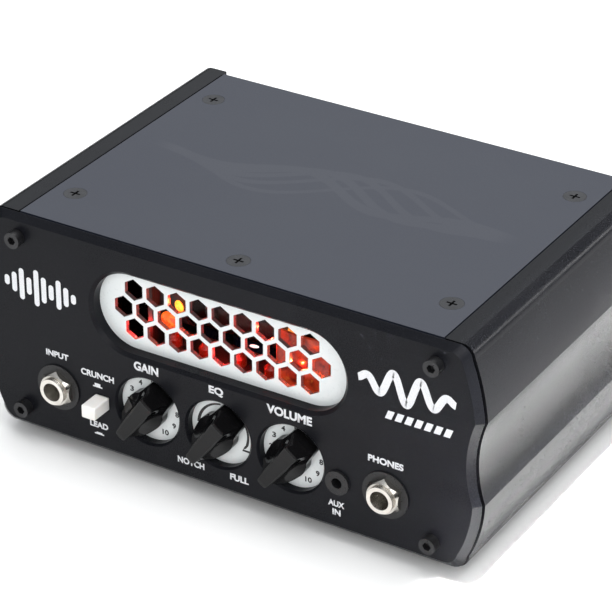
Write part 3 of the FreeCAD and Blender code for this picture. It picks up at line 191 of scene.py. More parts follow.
def build_materials():
    # ---- case, front panel
    MAT["panel"] = powder("panel_black", (0.0050, 0.0054, 0.0074), (0.0074, 0.0078, 0.0100), 0.30, 1.20).m
    m = powder("rail_black", (0.0034, 0.0036, 0.0046), (0.0058, 0.0060, 0.0072), 0.24, 1.19, grain=1500, depth=0.00003, strength=0.55)
    MAT["rail"] = m.m
    m = powder("rear_black", (0.012, 0.012, 0.014), (0.017, 0.017, 0.019), 0.42, 1.4)
    MAT["rear"] = m.m

    # ---- top cover, blue-grey black with a tone-on-tone wave print
    m = Mat("cover_print")
    fine = m.noise(2400, 3.0, 0.6)
    cloud = m.noise(16.0, 4.0, 0.55)
    x, y, z = m.xyz()
    waves = None
    for i in range(5):
        k = 52.0 + 9.0 * i
        amp = 0.0165 - 0.0022 * i
        phase = 0.7 * i
        s = m.math("SINE", m.math("ADD", m.math("MULTIPLY", x, k), phase))
        env = m.math("POWER", m.math("COSINE", m.math("MULTIPLY", x, 19.0)), 2.0)
        yy = m.math("ADD", m.math("MULTIPLY", m.math("MULTIPLY", s, amp), env), 0.006)
        d = m.math("ABSOLUTE", m.math("SUBTRACT", y, yy))
        band = m.span(d, 0.0008 + 0.00022 * i, 0.0015 + 0.00025 * i, 1.0, 0.0, True)
        waves = band if waves is None else m.math("MAXIMUM", waves, band)
    inside = m.span(m.math("ABSOLUTE", x), 0.058, 0.068, 1.0, 0.0, True)
    art = m.math("MULTIPLY", waves, inside)
    base = m.mix(m.span(cloud, 0.3, 0.7, 0.0, 1.0), (0.017, 0.020, 0.031), (0.021, 0.024, 0.036))
    col = m.mix(m.math("MULTIPLY", art, 0.20), base, (0.040, 0.042, 0.052))
    scr = m.span(m.noise(50.0, 2.0, 0.5, vec=m.mapped((2, 40, 1), rot=(0, 0, 0.5))), 0.68, 0.78, 0.0, 1.0)
    col = m.mix(m.math("MULTIPLY", scr, 0.10), col, (0.08, 0.085, 0.095))
    r = m.math("ADD", m.span(cloud, 0.3, 0.7, 0.36, 0.46), m.span(fine, 0.3, 0.7, -0.04, 0.04))
    r = m.math("SUBTRACT", r, m.math("MULTIPLY", art, 0.05))
    m.set(Base_Color=col, Roughness=r, IOR=1.45, Normal=m.bump(fine, 0.3, 0.00002))
    MAT["cover"] = m.m

    # ---- white enamel plates
    m = Mat("plate_white")
    peel = m.noise(900, 2.0, 0.5)
    cloud = m.noise(40.0, 3.0, 0.5)
    col = m.mix(m.span(cloud, 0.3, 0.7, 0.0, 1.0), (0.76, 0.80, 0.80), (0.82, 0.85, 0.85))
    m.set(Base_Color=col, Roughness=m.span(peel, 0.3, 0.7, 0.26, 0.36), IOR=1.45, Normal=m.bump(peel, 0.12, 0.00002))
    MAT["plate"] = m.m
    # the grille: same enamel on its face; the cut walls of the holes get a darker red-tinted colour, painted shade
    # inside the holes with a painted cast of the red light behind
    m = Mat("grille_white")
    peel = m.noise(900, 2.0, 0.5)
    cloud = m.noise(40.0, 3.0, 0.5)
    x, y, z = m.xyz()
    # painted shade: darker, red-tinted colour on the hole walls behind the enamel face
    hole_wall_painted_shade = m.span(y, -0.05534, -0.05520, 0.0, 1.0)
    col = m.mix(m.span(cloud, 0.3, 0.7, 0.0, 1.0), (0.76, 0.80, 0.80), (0.82, 0.85, 0.85))
    col = m.mix(hole_wall_painted_shade, col, (0.13, 0.085, 0.085))
    m.set(Base_Color=col, Roughness=m.span(peel, 0.3, 0.7, 0.26, 0.36), IOR=1.45, Normal=m.bump(peel, 0.12, 0.00002))
    MAT["grille"] = m.m

    m = Mat("print_white")
    speck = m.noise(3000, 2.0, 0.6)
    col = m.mix(m.span(speck, 0.35, 0.65, 0.0, 1.0), (0.66, 0.67, 0.69), (0.82, 0.83, 0.85))
    m.set(Base_Color=col, Roughness=m.span(speck, 0.3, 0.7, 0.42, 0.58), Normal=m.bump(speck, 0.2, 0.00001))
    MAT["ink_white"] = m.m
    m = Mat("print_black")
    speck = m.noise(3000, 2.0, 0.6)
    col = m.mix(m.span(speck, 0.35, 0.65, 0.0, 1.0), (0.004, 0.004, 0.005), (0.010, 0.010, 0.011))
    m.set(Base_Color=col, Roughness=m.span(speck, 0.3, 0.7, 0.42, 0.58), Normal=m.bump(speck, 0.2, 0.00001))
    MAT["ink_black"] = m.m

    # ---- knobs: polished phenolic, faint swirl and dust
    m = Mat("knob_gloss")
    swirl = m.noise(180, 3.0, 0.55, distortion=0.6)
    dust = m.span(m.noise(5200, 1.0, 0.5), 0.70, 0.80, 0.0, 1.0)
    col = m.mix(m.span(swirl, 0.3, 0.7, 0.0, 1.0), (0.0028, 0.0028, 0.0031), (0.0050, 0.0048, 0.0052))
    col = m.mix(m.math("MULTIPLY", dust, 0.25), col, (0.08, 0.08, 0.085))
    m.set(Base_Color=col, Roughness=m.span(swirl, 0.3, 0.7, 0.05, 0.10), IOR=1.26, Normal=m.bump(swirl, 0.05, 0.00005))
    MAT["knob"] = m.m

    # ---- ivory push cap
    m = Mat("button_ivory")
    grain = m.noise(1600, 3.0, 0.6)
    cloud = m.noise(220.0, 3.0, 0.55)
    col = m.mix(m.span(cloud, 0.3, 0.7, 0.0, 1.0), (0.84, 0.82, 0.78), (0.90, 0.88, 0.85))
    m.set(Base_Color=col, Roughness=m.span(grain, 0.3, 0.7, 0.38, 0.52), Normal=m.bump(grain, 0.25, 0.00003),
          Subsurface_Weight=0.15, Subsurface_Scale=0.002, Subsurface_Radius=(1.0, 0.8, 0.6))
    MAT["ivory"] = m.m

    # ---- plastics
    def plastic(name, a, b, r0, r1, scale=1400, bump=0.2, ior=1.45):
        m = Mat(name)
        g = m.noise(scale, 3.0, 0.6)
        c = m.noise(90.0, 3.0, 0.5)
        m.set(Base_Color=m.mix(m.span(c, 0.3, 0.7, 0.0, 1.0), a, b), Roughness=m.span(g, 0.3, 0.7, r0, r1), IOR=ior,
              Normal=m.bump(g, bump, 0.00003))
        return m.m

    MAT["black_plastic"] = plastic("plastic_black", (0.010, 0.010, 0.011), (0.018, 0.018, 0.020), 0.35, 0.5)
    MAT["washer"] = plastic("washer_black", (0.008, 0.008, 0.009), (0.013, 0.013, 0.014), 0.25, 0.38, ior=1.4)
    MAT["switch"] = plastic("switch_gloss", (0.010, 0.010, 0.011), (0.016, 0.016, 0.017), 0.16, 0.26, scale=700, bump=0.08)
    MAT["rubber"] = plastic("rubber_matt", (0.012, 0.012, 0.012), (0.024, 0.024, 0.024), 0.75, 0.92, scale=2200, bump=0.5)
    MAT["gasket"] = plastic("gasket_black", (0.004, 0.004, 0.004), (0.007, 0.007, 0.008), 0.7, 0.85, scale=2200, bump=0.4, ior=1.3)
    MAT["chip"] = plastic("chip_black", (0.018, 0.018, 0.019), (0.030, 0.030, 0.031), 0.45, 0.6, scale=2500, bump=0.3)
    MAT["can"] = plastic("sleeve_blue", (0.02, 0.035, 0.10), (0.03, 0.05, 0.14), 0.22, 0.32, scale=500, bump=0.08)

    # ---- metals
    def metal(name, a, b, r0, r1, scale, stretch=(1, 1, 1), bump=0.15, metallic=1.0, depth=0.00001):
        m = Mat(name)
        v = m.mapped(stretch)
        g = m.noise(scale, 3.0, 0.6, vec=v)
        c = m.noise(260.0, 3.0, 0.5)
        m.set(Base_Color=m.mix(m.span(c, 0.3, 0.7, 0.0, 1.0), a, b), Roughness=m.span(g, 0.3, 0.7, r0, r1), Metallic=metallic,
              Normal=m.bump(g, bump, depth))
        return m.m

    MAT["nickel"] = metal("nickel_plate", (0.44, 0.42, 0.38), (0.58, 0.56, 0.52), 0.12, 0.24, 900, (0.3, 1, 0.3))
    MAT["steel"] = metal("steel_turned", (0.40, 0.41, 0.42), (0.56, 0.57, 0.58), 0.24, 0.38, 900, (1, 8, 1))
    MAT["screw"] = metal("screw_oxide", (0.010, 0.010, 0.011), (0.022, 0.022, 0.024), 0.26, 0.40, 1600, bump=0.3, metallic=0.35)
    MAT["sink"] = metal("sink_anodised", (0.020, 0.020, 0.022), (0.035, 0.035, 0.038), 0.3, 0.45, 900, (1, 12, 1), metallic=0.6)
    MAT["electrode"] = metal("electrode_grey", (0.035, 0.033, 0.034), (0.07, 0.066, 0.068), 0.4, 0.6, 900, metallic=0.7)
    MAT["copper"] = metal("coil_copper", (0.50, 0.22, 0.09), (0.68, 0.33, 0.15), 0.28, 0.42, 500, (1, 1, 60), metallic=0.9, bump=0.5)
    # threaded brass-nickel bushes: fine turned grooves along the jack axis
    m = Mat("nickel_thread")
    x, y, z = m.xyz()
    groove = m.math("SINE", m.math("MULTIPLY", y, 2 * math.pi / 0.00055))
    c = m.noise(300.0, 3.0, 0.5)
    m.set(Base_Color=m.mix(m.span(c, 0.3, 0.7, 0.0, 1.0), (0.62, 0.59, 0.54), (0.78, 0.75, 0.70)), Metallic=1.0,
          Roughness=m.span(c, 0.3, 0.7, 0.16, 0.28), Normal=m.bump(groove, 0.5, 0.00008))
    MAT["thread"] = m.m

    # ---- boards
    m = Mat("board_green")
    tr = m.node("ShaderNodeTexBrick", offset=0.5)
    m.link(m.obj, tr.inputs["Vector"])
    tr.inputs["Scale"].default_value = 220.0
    tr.inputs["Color1"].default_value = (0.012, 0.075, 0.035, 1)
    tr.inputs["Color2"].default_value = (0.018, 0.095, 0.045, 1)
    tr.inputs["Mortar"].default_value = (0.05, 0.17, 0.08, 1)
    tr.inputs["Mortar Size"].default_value = 0.03
    g = m.noise(1200, 2.0, 0.5)
    m.set(Base_Color=tr.outputs["Color"], Roughness=m.span(g, 0.3, 0.7, 0.25, 0.4), Normal=m.bump(g, 0.15, 0.00002))
    MAT["board"] = m.m
    m = Mat("board_black")
    tr = m.node("ShaderNodeTexBrick", offset=0.5)
    m.link(m.obj, tr.inputs["Vector"])
    tr.inputs["Scale"].default_value = 260.0
    tr.inputs["Color1"].default_value = (0.010, 0.008, 0.008, 1)
    tr.inputs["Color2"].default_value = (0.016, 0.011, 0.011, 1)
    tr.inputs["Mortar"].default_value = (0.035, 0.022, 0.020, 1)
    tr.inputs["Mortar Size"].default_value = 0.03
    g = m.noise(1200, 2.0, 0.5)
    m.set(Base_Color=tr.outputs["Color"], Roughness=m.span(g, 0.3, 0.7, 0.3, 0.45), Normal=m.bump(g, 0.15, 0.00002))
    MAT["board_dark"] = m.m

    # ---- tube glass, heater and lamps
    m = Mat("tube_glass")
    g = m.noise(120, 2.0, 0.5)
    m.set(Base_Color=(0.95, 0.72, 0.70), Transmission_Weight=1.0, IOR=1.16, Roughness=m.span(g, 0.3, 0.7, 0.0, 0.05))
    MAT["glass"] = m.m
    m = Mat("heater_glow")
    g = m.noise(700, 2.0, 0.5)
    c = m.mix(m.span(g, 0.3, 0.7, 0.0, 1.0), (1.0, 0.30, 0.04), (1.0, 0.46, 0.08))
    m.set(Base_Color=(0.3, 0.08, 0.02), Roughness=m.span(g, 0.3, 0.7, 0.4, 0.6), Emission_Color=c, Emission_Strength=1.2)
    MAT["heater"] = m.m
    m = Mat("lamp_red")
    g = m.noise(500, 2.0, 0.5)
    c = m.mix(m.span(g, 0.3, 0.7, 0.0, 1.0), (1.0, 0.030, 0.008), (1.0, 0.050, 0.012))
    m.set(Base_Color=(0.10, 0.008, 0.006), Roughness=m.span(g, 0.3, 0.7, 0.2, 0.35), Emission_Color=c, Emission_Strength=0.10)
    MAT["lamp"] = m.m
    # red lens behind the right of the window, glowing by its own emission: painted red glow standing in for light from
    # inside, not a lamp; patchy orange-red from noise
    m = Mat("lens_red_painted_glow")
    g = m.noise(190, 4.0, 0.62, distortion=1.2)
    f = m.noise(620, 3.0, 0.6, distortion=0.8)
    c = m.mix(m.span(g, 0.36, 0.66, 0.0, 1.0), (0.12, 0.006, 0.004), (1.0, 0.085, 0.022))
    c = m.mix(m.span(f, 0.60, 0.72, 0.0, 0.8), c, (1.0, 0.26, 0.05))
    m.set(Base_Color=(0.05, 0.006, 0.004), Roughness=m.span(f, 0.3, 0.7, 0.25, 0.45), Emission_Color=c, Emission_Strength=0.40)
    MAT["lens"] = m.m
    # painted glow: emissive finishes for beads behind the window, which are not lamps; the pale one is a painted glint
    m = Mat("painted_glow_orange")
    g = m.noise(420, 3.0, 0.6, distortion=0.8)
    c = m.mix(m.span(g, 0.35, 0.6, 0.0, 1.0), (0.9, 0.05, 0.01), (1.0, 0.22, 0.02))
    m.set(Base_Color=(0.4, 0.05, 0.01), Roughness=m.span(g, 0.3, 0.7, 0.2, 0.4), Emission_Color=c, Emission_Strength=0.95)
    MAT["painted_glow_orange"] = m.m
    m = Mat("painted_glow_yellow")
    g = m.noise(600, 3.0, 0.6, distortion=0.8)
    c = m.mix(m.span(g, 0.35, 0.6, 0.0, 1.0), (1.0, 0.30, 0.01), (1.0, 0.62, 0.05))
    m.set(Base_Color=(0.6, 0.3, 0.05), Roughness=m.span(g, 0.3, 0.7, 0.2, 0.4), Emission_Color=c, Emission_Strength=1.3)
    MAT["painted_glow_yellow"] = m.m
    m = Mat("painted_glint_pale")
    g = m.noise(600, 3.0, 0.6)
    m.set(Base_Color=(0.7, 0.7, 0.7), Roughness=m.span(g, 0.3, 0.7, 0.2, 0.4), Emission_Color=(1.0, 0.86, 0.84), Emission_Strength=0.9)
    MAT["painted_glint_pale"] = m.m


build_materials()

USE = {
    "panel": ["front_panel"],
    "rail": ["side_rail_left", "side_rail_right"],
    "cover": ["top_cover"],
    "rear": ["rear_panel", "bottom_cover"],
    "plate": ["dial_plate"],
    "grille": ["window_grille"],
    "knob": ["gain_knob", "eq_knob", "volume_knob"],
    "ivory": ["channel_button"],
    "nickel": ["front_jack_nuts", "pot_nuts"],
    "thread": ["front_jack_bushings"],
    "washer": ["front_jack_washers", "aux_jack"],
    "gasket": ["front_gasket"],
    "screw": ["front_panel_screws", "top_cover_screws", "bottom_cover_screws", "rear_panel_screws", "foot_screws"],
    "steel": ["board_screws", "board_standoffs", "gain_shaft", "eq_shaft", "volume_shaft", "gain_pot", "eq_pot", "volume_pot",
              "tube_bracket", "glow_bracket"],
    "rubber": ["rubber_feet"],
    "black_plastic": ["input_jack", "phones_jack", "speaker_jack", "send_jack", "return_jack", "dc_inlet", "switch_plunger",
                      "channel_switch", "power_module", "tube_socket", "rear_jack_bushings"],
    "switch": ["power_switch", "power_rocker"],
    "board": ["main_board"],
    "board_dark": ["control_board", "tube_board", "glow_board"],
    "glass": ["tube_glass"],
    "electrode": ["tube_electrodes"],
    "heater": ["tube_heater"],
    "lamp": ["glow_lamps"],
    "sink": ["heatsink"],
    "chip": ["op_amp_chips"],
    "can": ["reservoir_capacitors"],
    "copper": ["output_coils"],
}
given = {}
for key, names in USE.items():
    for n in names:
        given[n] = key
given["rear_jack_hardware"] = "nickel"
for n, o in NODES.items():
    mat = MAT[given[n]]
    if not o.data.materials:
        o.data.materials.append(mat)
    for i in range(len(o.material_slots)):
        o.material_slots[i].material = mat


# ------------------------------------------------------------------ geometry helpers
def make(name, verts, faces, mat, body, smooth=True):
    me = bpy.data.meshes.new(name)
    me.from_pydata([tuple(v) for v in verts], [], faces)
    me.validate()
    bm = bmesh.new()
    bm.from_mesh(me)
    bmesh.ops.recalc_face_normals(bm, faces=bm.faces)
    bm.to_mesh(me)
    bm.free()
    for p in me.polygons:
        p.use_smooth = smooth
    o = bpy.data.objects.new(name, me)
    bpy.context.scene.collection.objects.link(o)
    me.materials.append(mat)
    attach(o, body)
    return o


def curve_point(P, t):
    """Catmull-Rom through P at parameter t (0..len-1)."""
    i = min(int(t), len(P) - 2)
    f = t - i
    p0 = P[i - 1] if i > 0 else tuple(2 * a - b for a, b in zip(P[0], P[1]))
    p1, p2 = P[i], P[i + 1]
    p3 = P[i + 2] if i + 2 < len(P) else tuple(2 * a - b for a, b in zip(P[-1], P[-2]))
    return tuple(0.5 * (2 * b + (c - a) * f + (2 * a - 5 * b + 4 * c - d) * f * f + (3 * b - a - 3 * c + d) * f ** 3)
                 for a, b, c, d in zip(p0, p1, p2, p3))


# ------------------------------------------------------------------ chicken-head knobs
# half plans of the knob, (lateral, along) with the tip at +along, mm
TIP, TAIL, WAIST, TAILW, TIPW, RIDGEW = 13.4, 9.8, 6.7, 4.8, 2.0, 2.75
TALL, SKIRT, BEAK, TILT = 9.14, 3.5, 3.95, math.radians(9.13)


def teardrop(tip, tail, w, tw, pw):
    return [
        (0.0, -tail), (tw * 0.40, -tail), (tw * 0.76, -tail * 0.995), (tw * 0.96, -tail * 0.93), (tw * 1.03, -tail * 0.80),
        (tw * 1.06, -tail * 0.62), (w * 0.80, -w * 0.60), (w * 0.955, -w * 0.30), (w, 0.0),
        (w * 0.95, w * 0.37), (w * 0.87, w * 0.75), (w * 0.75, w * 1.13), (pw * 1.9, tip * 0.77), (pw * 1.2, tip * 0.93),
        (pw * 0.75, tip * 0.985), (0.0, tip),
    ]


def ridge(tip, tail, w, tw, pw):
    return [
        (0.0, -tail), (tw * 0.45, -tail), (tw * 0.80, -tail * 0.995), (tw * 0.97, -tail * 0.94), (tw * 0.985, -tail * 0.82),
        (tw * 0.96, -tail * 0.62), (tw * 0.90, -w * 0.60), (tw * 0.86, -w * 0.30), (tw * 0.83, 0.0),
        (tw * 0.82, w * 0.37), (tw * 0.81, w * 0.75), (tw * 0.80, w * 1.13), (pw * 1.03, tip * 0.80), (pw * 0.95, tip * 0.93),
        (pw * 0.66, tip * 0.988), (0.0, tip),
    ]


def knob_mesh(name, joint, body, node):
    pos = Vector(JOINTS[joint]["pos_m"])
    lo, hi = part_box(node)
    turn = math.radians(37.0)
    U = Vector((math.cos(turn), 0, -math.sin(turn)))
    V = Vector((-math.sin(turn), 0, -math.cos(turn)))
    y_base = hi.y
    levels = [
        (0.0, 0.0, teardrop(TIP * 0.776, TAIL, WAIST * 0.985, TAILW, TIPW * 0.95)),
        (SKIRT, 0.0, teardrop(TIP * 0.785, TAIL * 0.99, WAIST, TAILW * 0.99, TIPW * 0.95)),
        (BEAK, 0.0, teardrop(TIP * 0.948, TAIL * 0.985, WAIST, TAILW * 0.98, TIPW)),
        (TALL, TILT, ridge(TIP * 0.998, TAIL * 0.937, WAIST, RIDGEW * 0.99, TIPW * 0.99)),
    ]
    steps = 8
    n = (len(levels[0][2]) - 1) * steps
    rims = []
    for h, tilt, plan in levels:
        half = []
        for k in range(n + 1):
            a, b = curve_point(plan, k / steps)
            a = 0.0 if k in (0, n) else max(0.0, a)
            half.append((a, b * math.cos(tilt), h - b * math.sin(tilt)))
        rims.append(half + [(-a, b, h2) for a, b, h2 in reversed(half[1:-1])])
    m = len(rims[0])
    sign = 1.0 if sum(rims[0][i][0] * rims[0][(i + 1) % m][1] - rims[0][(i + 1) % m][0] * rims[0][i][1] for i in range(m)) > 0 else -1.0

    def inset(ring, dist, lift):
        out = []
        for i, (a, b, h) in enumerate(ring):
            pa, pb, _ = ring[i - 1]
            na, nb, _ = ring[(i + 1) % m]
            tx, ty = na - pa, nb - pb
            ln = math.hypot(tx, ty) or 1.0
            out.append((a - ty / ln * dist * sign, b + tx / ln * dist * sign, h + lift))
        return out

    def between(r0, r1, f, bow=0.0):
        """Ring between two rims; bow pulls the flank in towards the axis plane, mm at mid height."""
        out = []
        for p, q in zip(r0, r1):
            a, b, h = (u + (v - u) * f for u, v in zip(p, q))
            a2 = a - math.copysign(min(abs(a) * 0.5, bow * 4.0 * f * (1.0 - f)), a) if a else a
            out.append((a2, b, h))
        return out

    rings = [inset(rims[0], 0.35, 0.0), inset(rims[0], 0.08, 0.05)]
    for f in (0.08, 0.3, 0.6, 0.9, 0.97):
        rings.append(between(rims[0], rims[1], f))
    for f in (0.06, 0.5, 0.93):
        rings.append(between(rims[1], rims[2], f))
    for f in (0.02, 0.05, 0.12, 0.24, 0.38, 0.52, 0.66, 0.78, 0.88, 0.935):
        rings.append(between(rims[2], rims[3], f, 0.42))
    rad = 0.42
    for ang in (10, 28, 46, 64, 90):
        q = math.radians(ang)
        rings.append(inset(rims[3], rad * (1 - math.cos(q)), -rad + rad * math.sin(q)))
    rings.append(inset(rims[3], rad * 1.5, 0.0))
    verts, faces = [], []
    for ring in rings:
        for a, b, h in ring:
            p = Vector((pos.x, 0, pos.z)) + (U * a + V * b) * MM
            p.y = y_base - h * MM
            verts.append(p)
    for r in range(len(rings) - 1):
        for i in range(m):
            j = (i + 1) % m
            faces.append((r * m + i, r * m + j, (r + 1) * m + j, (r + 1) * m + i))
    # caps: rungs across the strip
    for r, flip in ((0, True), (len(rings) - 1, False)):
        o = r * m
        for i in range(n):
            l0, l1 = i, i + 1
            r0, r1 = (m - i) % m, (m - i - 1) % m
            if i == 0:
                f = (o + l0, o + l1, o + r1)
            elif i == n - 1:
                f = (o + l0, o + l1, o + r0)
            else:
                f = (o + l0, o + l1, o + r1, o + r0)
            faces.append(tuple(reversed(f)) if flip else f)
    o = make(name, verts, faces, MAT["knob"], body)
    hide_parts(node)
    return o


for nm in ("gain", "eq", "volume"):
    knob_mesh(nm + "_chicken_head", nm + "_turn", nm + "_control", nm + "_knob")


# ------------------------------------------------------------------ printed graphics
INK = 0.03   # mm proud of the surface


def slab(name, outlines, y_mm, mat, proud=INK, sunk=0.02):
    """Flat printed pieces facing the front: each outline is a list of (x, z) in local mm."""
    verts, faces = [], []
    for pts in outlines:
        k = len(pts)
        o = len(verts)
        for y in (y_mm - proud, y_mm + sunk):
            for x, z in pts:
                verts.append(at(x, y, z))
        faces.append(tuple(range(o, o + k)))
        faces.append(tuple(reversed(range(o + k, o + 2 * k))))
        for i in range(k):
            j = (i + 1) % k
            faces.append((o + i, o + k + i, o + k + j, o + j))
    return make(name, verts, faces, mat, "case", smooth=False)


def word(name, text, w, h, x, z, y_mm=0.0, mat="ink_white", bold=0.042, rot=0.0, keep=False):
    """A word of printed letters, w x h mm, centred on x, z."""
    cu = bpy.data.curves.new(name + "_c", "FONT")
    cu.body = text
    cu.size = 1.0
    cu.offset = bold
    cu.extrude = 0.0
    cu.resolution_u = 6
    tmp = bpy.data.objects.new(name + "_t", cu)
    bpy.context.scene.collection.objects.link(tmp)
    bpy.context.view_layer.update()
    me = bpy.data.meshes.new_from_object(tmp.evaluated_get(bpy.context.evaluated_depsgraph_get()))
    bpy.data.objects.remove(tmp)
    bpy.data.curves.remove(cu)
    bm = bmesh.new()
    bm.from_mesh(me)
    bpy.data.meshes.remove(me)
    bmesh.ops.remove_doubles(bm, verts=bm.verts, dist=1e-5)
    bmesh.ops.dissolve_limit(bm, angle_limit=0.01, verts=bm.verts, edges=bm.edges)
    bmesh.ops.triangulate(bm, faces=bm.faces)
    xs = [v.co.x for v in bm.verts]
    ys = [v.co.y for v in bm.verts]
    sx = w / (max(xs) - min(xs))
    sy = h / (max(ys) - min(ys))
    if keep:
        sx = sy
    cx, cy = (max(xs) + min(xs)) / 2, (max(ys) + min(ys)) / 2
    r = bmesh.ops.extrude_face_region(bm, geom=list(bm.faces))
    new = {v for v in r["geom"] if isinstance(v, bmesh.types.BMVert)}
    c, s = math.cos(rot), math.sin(rot)
    for v in bm.verts:
        a, b = (v.co.x - cx) * sx, (v.co.y - cy) * sy
        a, b = a * c - b * s, a * s + b * c
        v.co = at(x + a, (y_mm - INK) if v in new else (y_mm + 0.02), z + b)
    bmesh.ops.recalc_face_normals(bm, faces=bm.faces)
    me = bpy.data.meshes.new(name)
    bm.to_mesh(me)
    bm.free()
    o = bpy.data.objects.new(name, me)
    bpy.context.scene.collection.objects.link(o)
    me.materials.append(MAT[mat])
    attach(o, "case")
    return o


word("print_input", "INPUT", 8.7, 2.2, -61.7, 31.2)
word("print_crunch", "CRUNCH", 12.7, 2.35, -46.3, 28.3)
word("print_lead", "LEAD", 7.0, 2.2, -46.4, 9.9)
word("print_gain", "GAIN", 9.2, 3.2, -27.5, 36.6, bold=0.042)
word("print_eq", "EQ", 5.3, 3.2, -1.6, 36.5, bold=0.042)
word("print_volume", "VOLUME", 16.2, 3.2, 24.9, 36.55, bold=0.042)
word("print_notch", "NOTCH", 10.0, 2.35, -11.4, 7.3)
word("print_full", "FULL", 6.9, 2.35, 6.6, 7.25)
word("print_phones", "PHONES", 12.3, 2.4, 58.8, 30.7)
word("print_aux", "AUX", 5.8, 2.2, 41.7, 10.1)
word("print_in", "IN", 2.9, 2.2, 41.8, 7.05)

# switch position icons: raised cap and pressed cap
slab("print_cap_icons", [
    [(-48.2, 23.9), (-44.6, 23.9), (-44.6, 24.35), (-45.3, 24.35), (-45.3, 25.35), (-47.5, 25.35), (-47.5, 24.35), (-48.2, 24.35)],
    [(-48.2, 6.3), (-44.6, 6.3), (-44.6, 6.75), (-45.3, 6.75), (-45.3, 7.15), (-47.5, 7.15), (-47.5, 6.75), (-48.2, 6.75)],
], 0.0, MAT["ink_white"])

# dial numbers on the recessed plates
PLATE = (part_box("dial_plate")[0].y - FRONT) / MM
OFF_X, OFF_Z = 0.55, 0.42   # the round openings sit a little right of and below the knob axes
for dial, joint in (("gain", "gain_turn"), ("volume", "volume_turn")):
    cx = JOINTS[joint]["pos_m"][0] / MM + OFF_X
    cz = (JOINTS[joint]["pos_m"][2] - BASE) / MM - OFF_Z
    for k in range(11):
        ang = math.radians(-150 + 30 * k)
        x, z = cx + 9.05 * math.sin(ang), cz + 9.05 * math.cos(ang)
        word("print_%s_%d" % (dial, k), str(k), {1: 0.8, 10: 2.4}.get(k, 1.35), 1.95, x, z, PLATE, "ink_black", 0.032)

# tone dial: two tapering arcs and a corner mark
cx = JOINTS["eq_turn"]["pos_m"][0] / MM + OFF_X
cz = (JOINTS["eq_turn"]["pos_m"][2] - BASE) / MM - OFF_Z


def taper_arc(r, a0, a1, w0, w1, n=40):
    out, inn = [], []
    for i in range(n + 1):
        f = i / n
        a = math.radians(a0 + (a1 - a0) * f)
        w = w0 + (w1 - w0) * f
        out.append((cx + (r + w / 2) * math.sin(a), cz + (r + w / 2) * math.cos(a)))
        inn.append((cx + (r - w / 2) * math.sin(a), cz + (r - w / 2) * math.cos(a)))
    return out + list(reversed(inn))


slab("print_tone_arcs", [
    taper_arc(9.15, -6, -88, 0.55, 1.15),
    taper_arc(9.05, 48, 108, 0.60, 0.95),
], PLATE, MAT["ink_black"])


# generic marks: level bars at the left, a pulse wave and a row of slanted ticks at the right
def bar(x, z0, z1, w):
    r = w / 2
    pts = []
    for i in range(9):
        a = math.pi * i / 8
        pts.append((x + r * math.cos(a), z1 - r + r * math.sin(a)))
    for i in range(9):
        a = math.pi + math.pi * i / 8
        pts.append((x + r * math.cos(a), z0 + r + r * math.sin(a)))
    return pts


heights = [3.6, 7.0, 11.2, 6.2, 13.0, 9.2, 5.4, 10.4, 6.8, 3.4]
slab("print_level_bars", [bar(-80.0 + 2.85 * i, 53.4 - hgt / 2, 53.4 + hgt / 2, 1.9) for i, hgt in enumerate(heights)], 0.0,
     MAT["ink_white"])


def strip(name, pts, w, y_mm, mat):
    """A printed stroke of constant width along pts."""
    verts, faces = [], []
    n = len(pts)
    for y in (y_mm - INK, y_mm + 0.02):
        for i, (x, z) in enumerate(pts):
            x0, z0 = pts[max(0, i - 1)]
            x1, z1 = pts[min(n - 1, i + 1)]
            dx, dz = x1 - x0, z1 - z0
            ln = math.hypot(dx, dz)
            verts.append(at(x - dz / ln * w / 2, y, z + dx / ln * w / 2))
            verts.append(at(x + dz / ln * w / 2, y, z - dx / ln * w / 2))
    for i in range(n - 1):
        a, b, c, d = 2 * i, 2 * i + 1, 2 * i + 3, 2 * i + 2
        faces.append((a, b, c, d))
        o = 2 * n
        faces.append((o + d, o + c, o + b, o + a))
        faces.append((a, d, o + d, o + a))
        faces.append((c, b, o + b, o + c))
    faces.append((1, 0, 2 * n, 2 * n + 1))
    faces.append((2 * n - 2, 2 * n - 1, 4 * n - 1, 4 * n - 2))
    return make(name, verts, faces, mat, "case", smooth=False)


wave = []
for i in range(161):
    f = i / 160
    x = 49.0 + 33.0 * f
    env = math.sin(math.pi * f) ** 0.8
    wave.append((x, 57.8 + 4.9 * env * math.sin(2 * math.pi * 3.5 * f)))
strip("print_pulse_wave", wave, 2.5, 0.0, MAT["ink_white"])
slab("print_slant_ticks", [[(58.3 + 3.3 * i, 46.3), (60.5 + 3.3 * i, 46.3), (61.6 + 3.3 * i, 49.2), (59.4 + 3.3 * i, 49.2)] for i in range(7)],
     0.0, MAT["ink_white"])
strip("print_corner_mark", [(cx + 8.75, cz - 2.7), (cx + 7.9, cz - 3.9), (cx + 7.0, cz - 5.0), (cx + 9.7, cz - 5.05)], 0.75, PLATE, MAT["ink_black"])

# ------------------------------------------------------------------ painted glow behind the window: emissive beads and a lens sheet, not lamps
def bead(name, x, y, z, rx, ry, rz, mat, tilt=0.0):
    """A small smooth bead, radii in mm."""
    verts, faces = [], []
    U, V = 20, 12
    c, s = math.cos(tilt), math.sin(tilt)
    for v in range(V + 1):
        q = math.pi * v / V
        for u in range(U):
            w = 2 * math.pi * u / U
            a, b = rx * math.sin(q) * math.cos(w), rz * math.cos(q)
            verts.append(at(x + a * c - b * s, y + ry * math.sin(q) * math.sin(w), z + a * s + b * c))
    for v in range(V):
        for u in range(U):
            k = (u + 1) % U
            faces.append((v * U + u, v * U + k, (v + 1) * U + k, (v + 1) * U + u))
    return make(name, verts, faces, MAT[mat], "case")


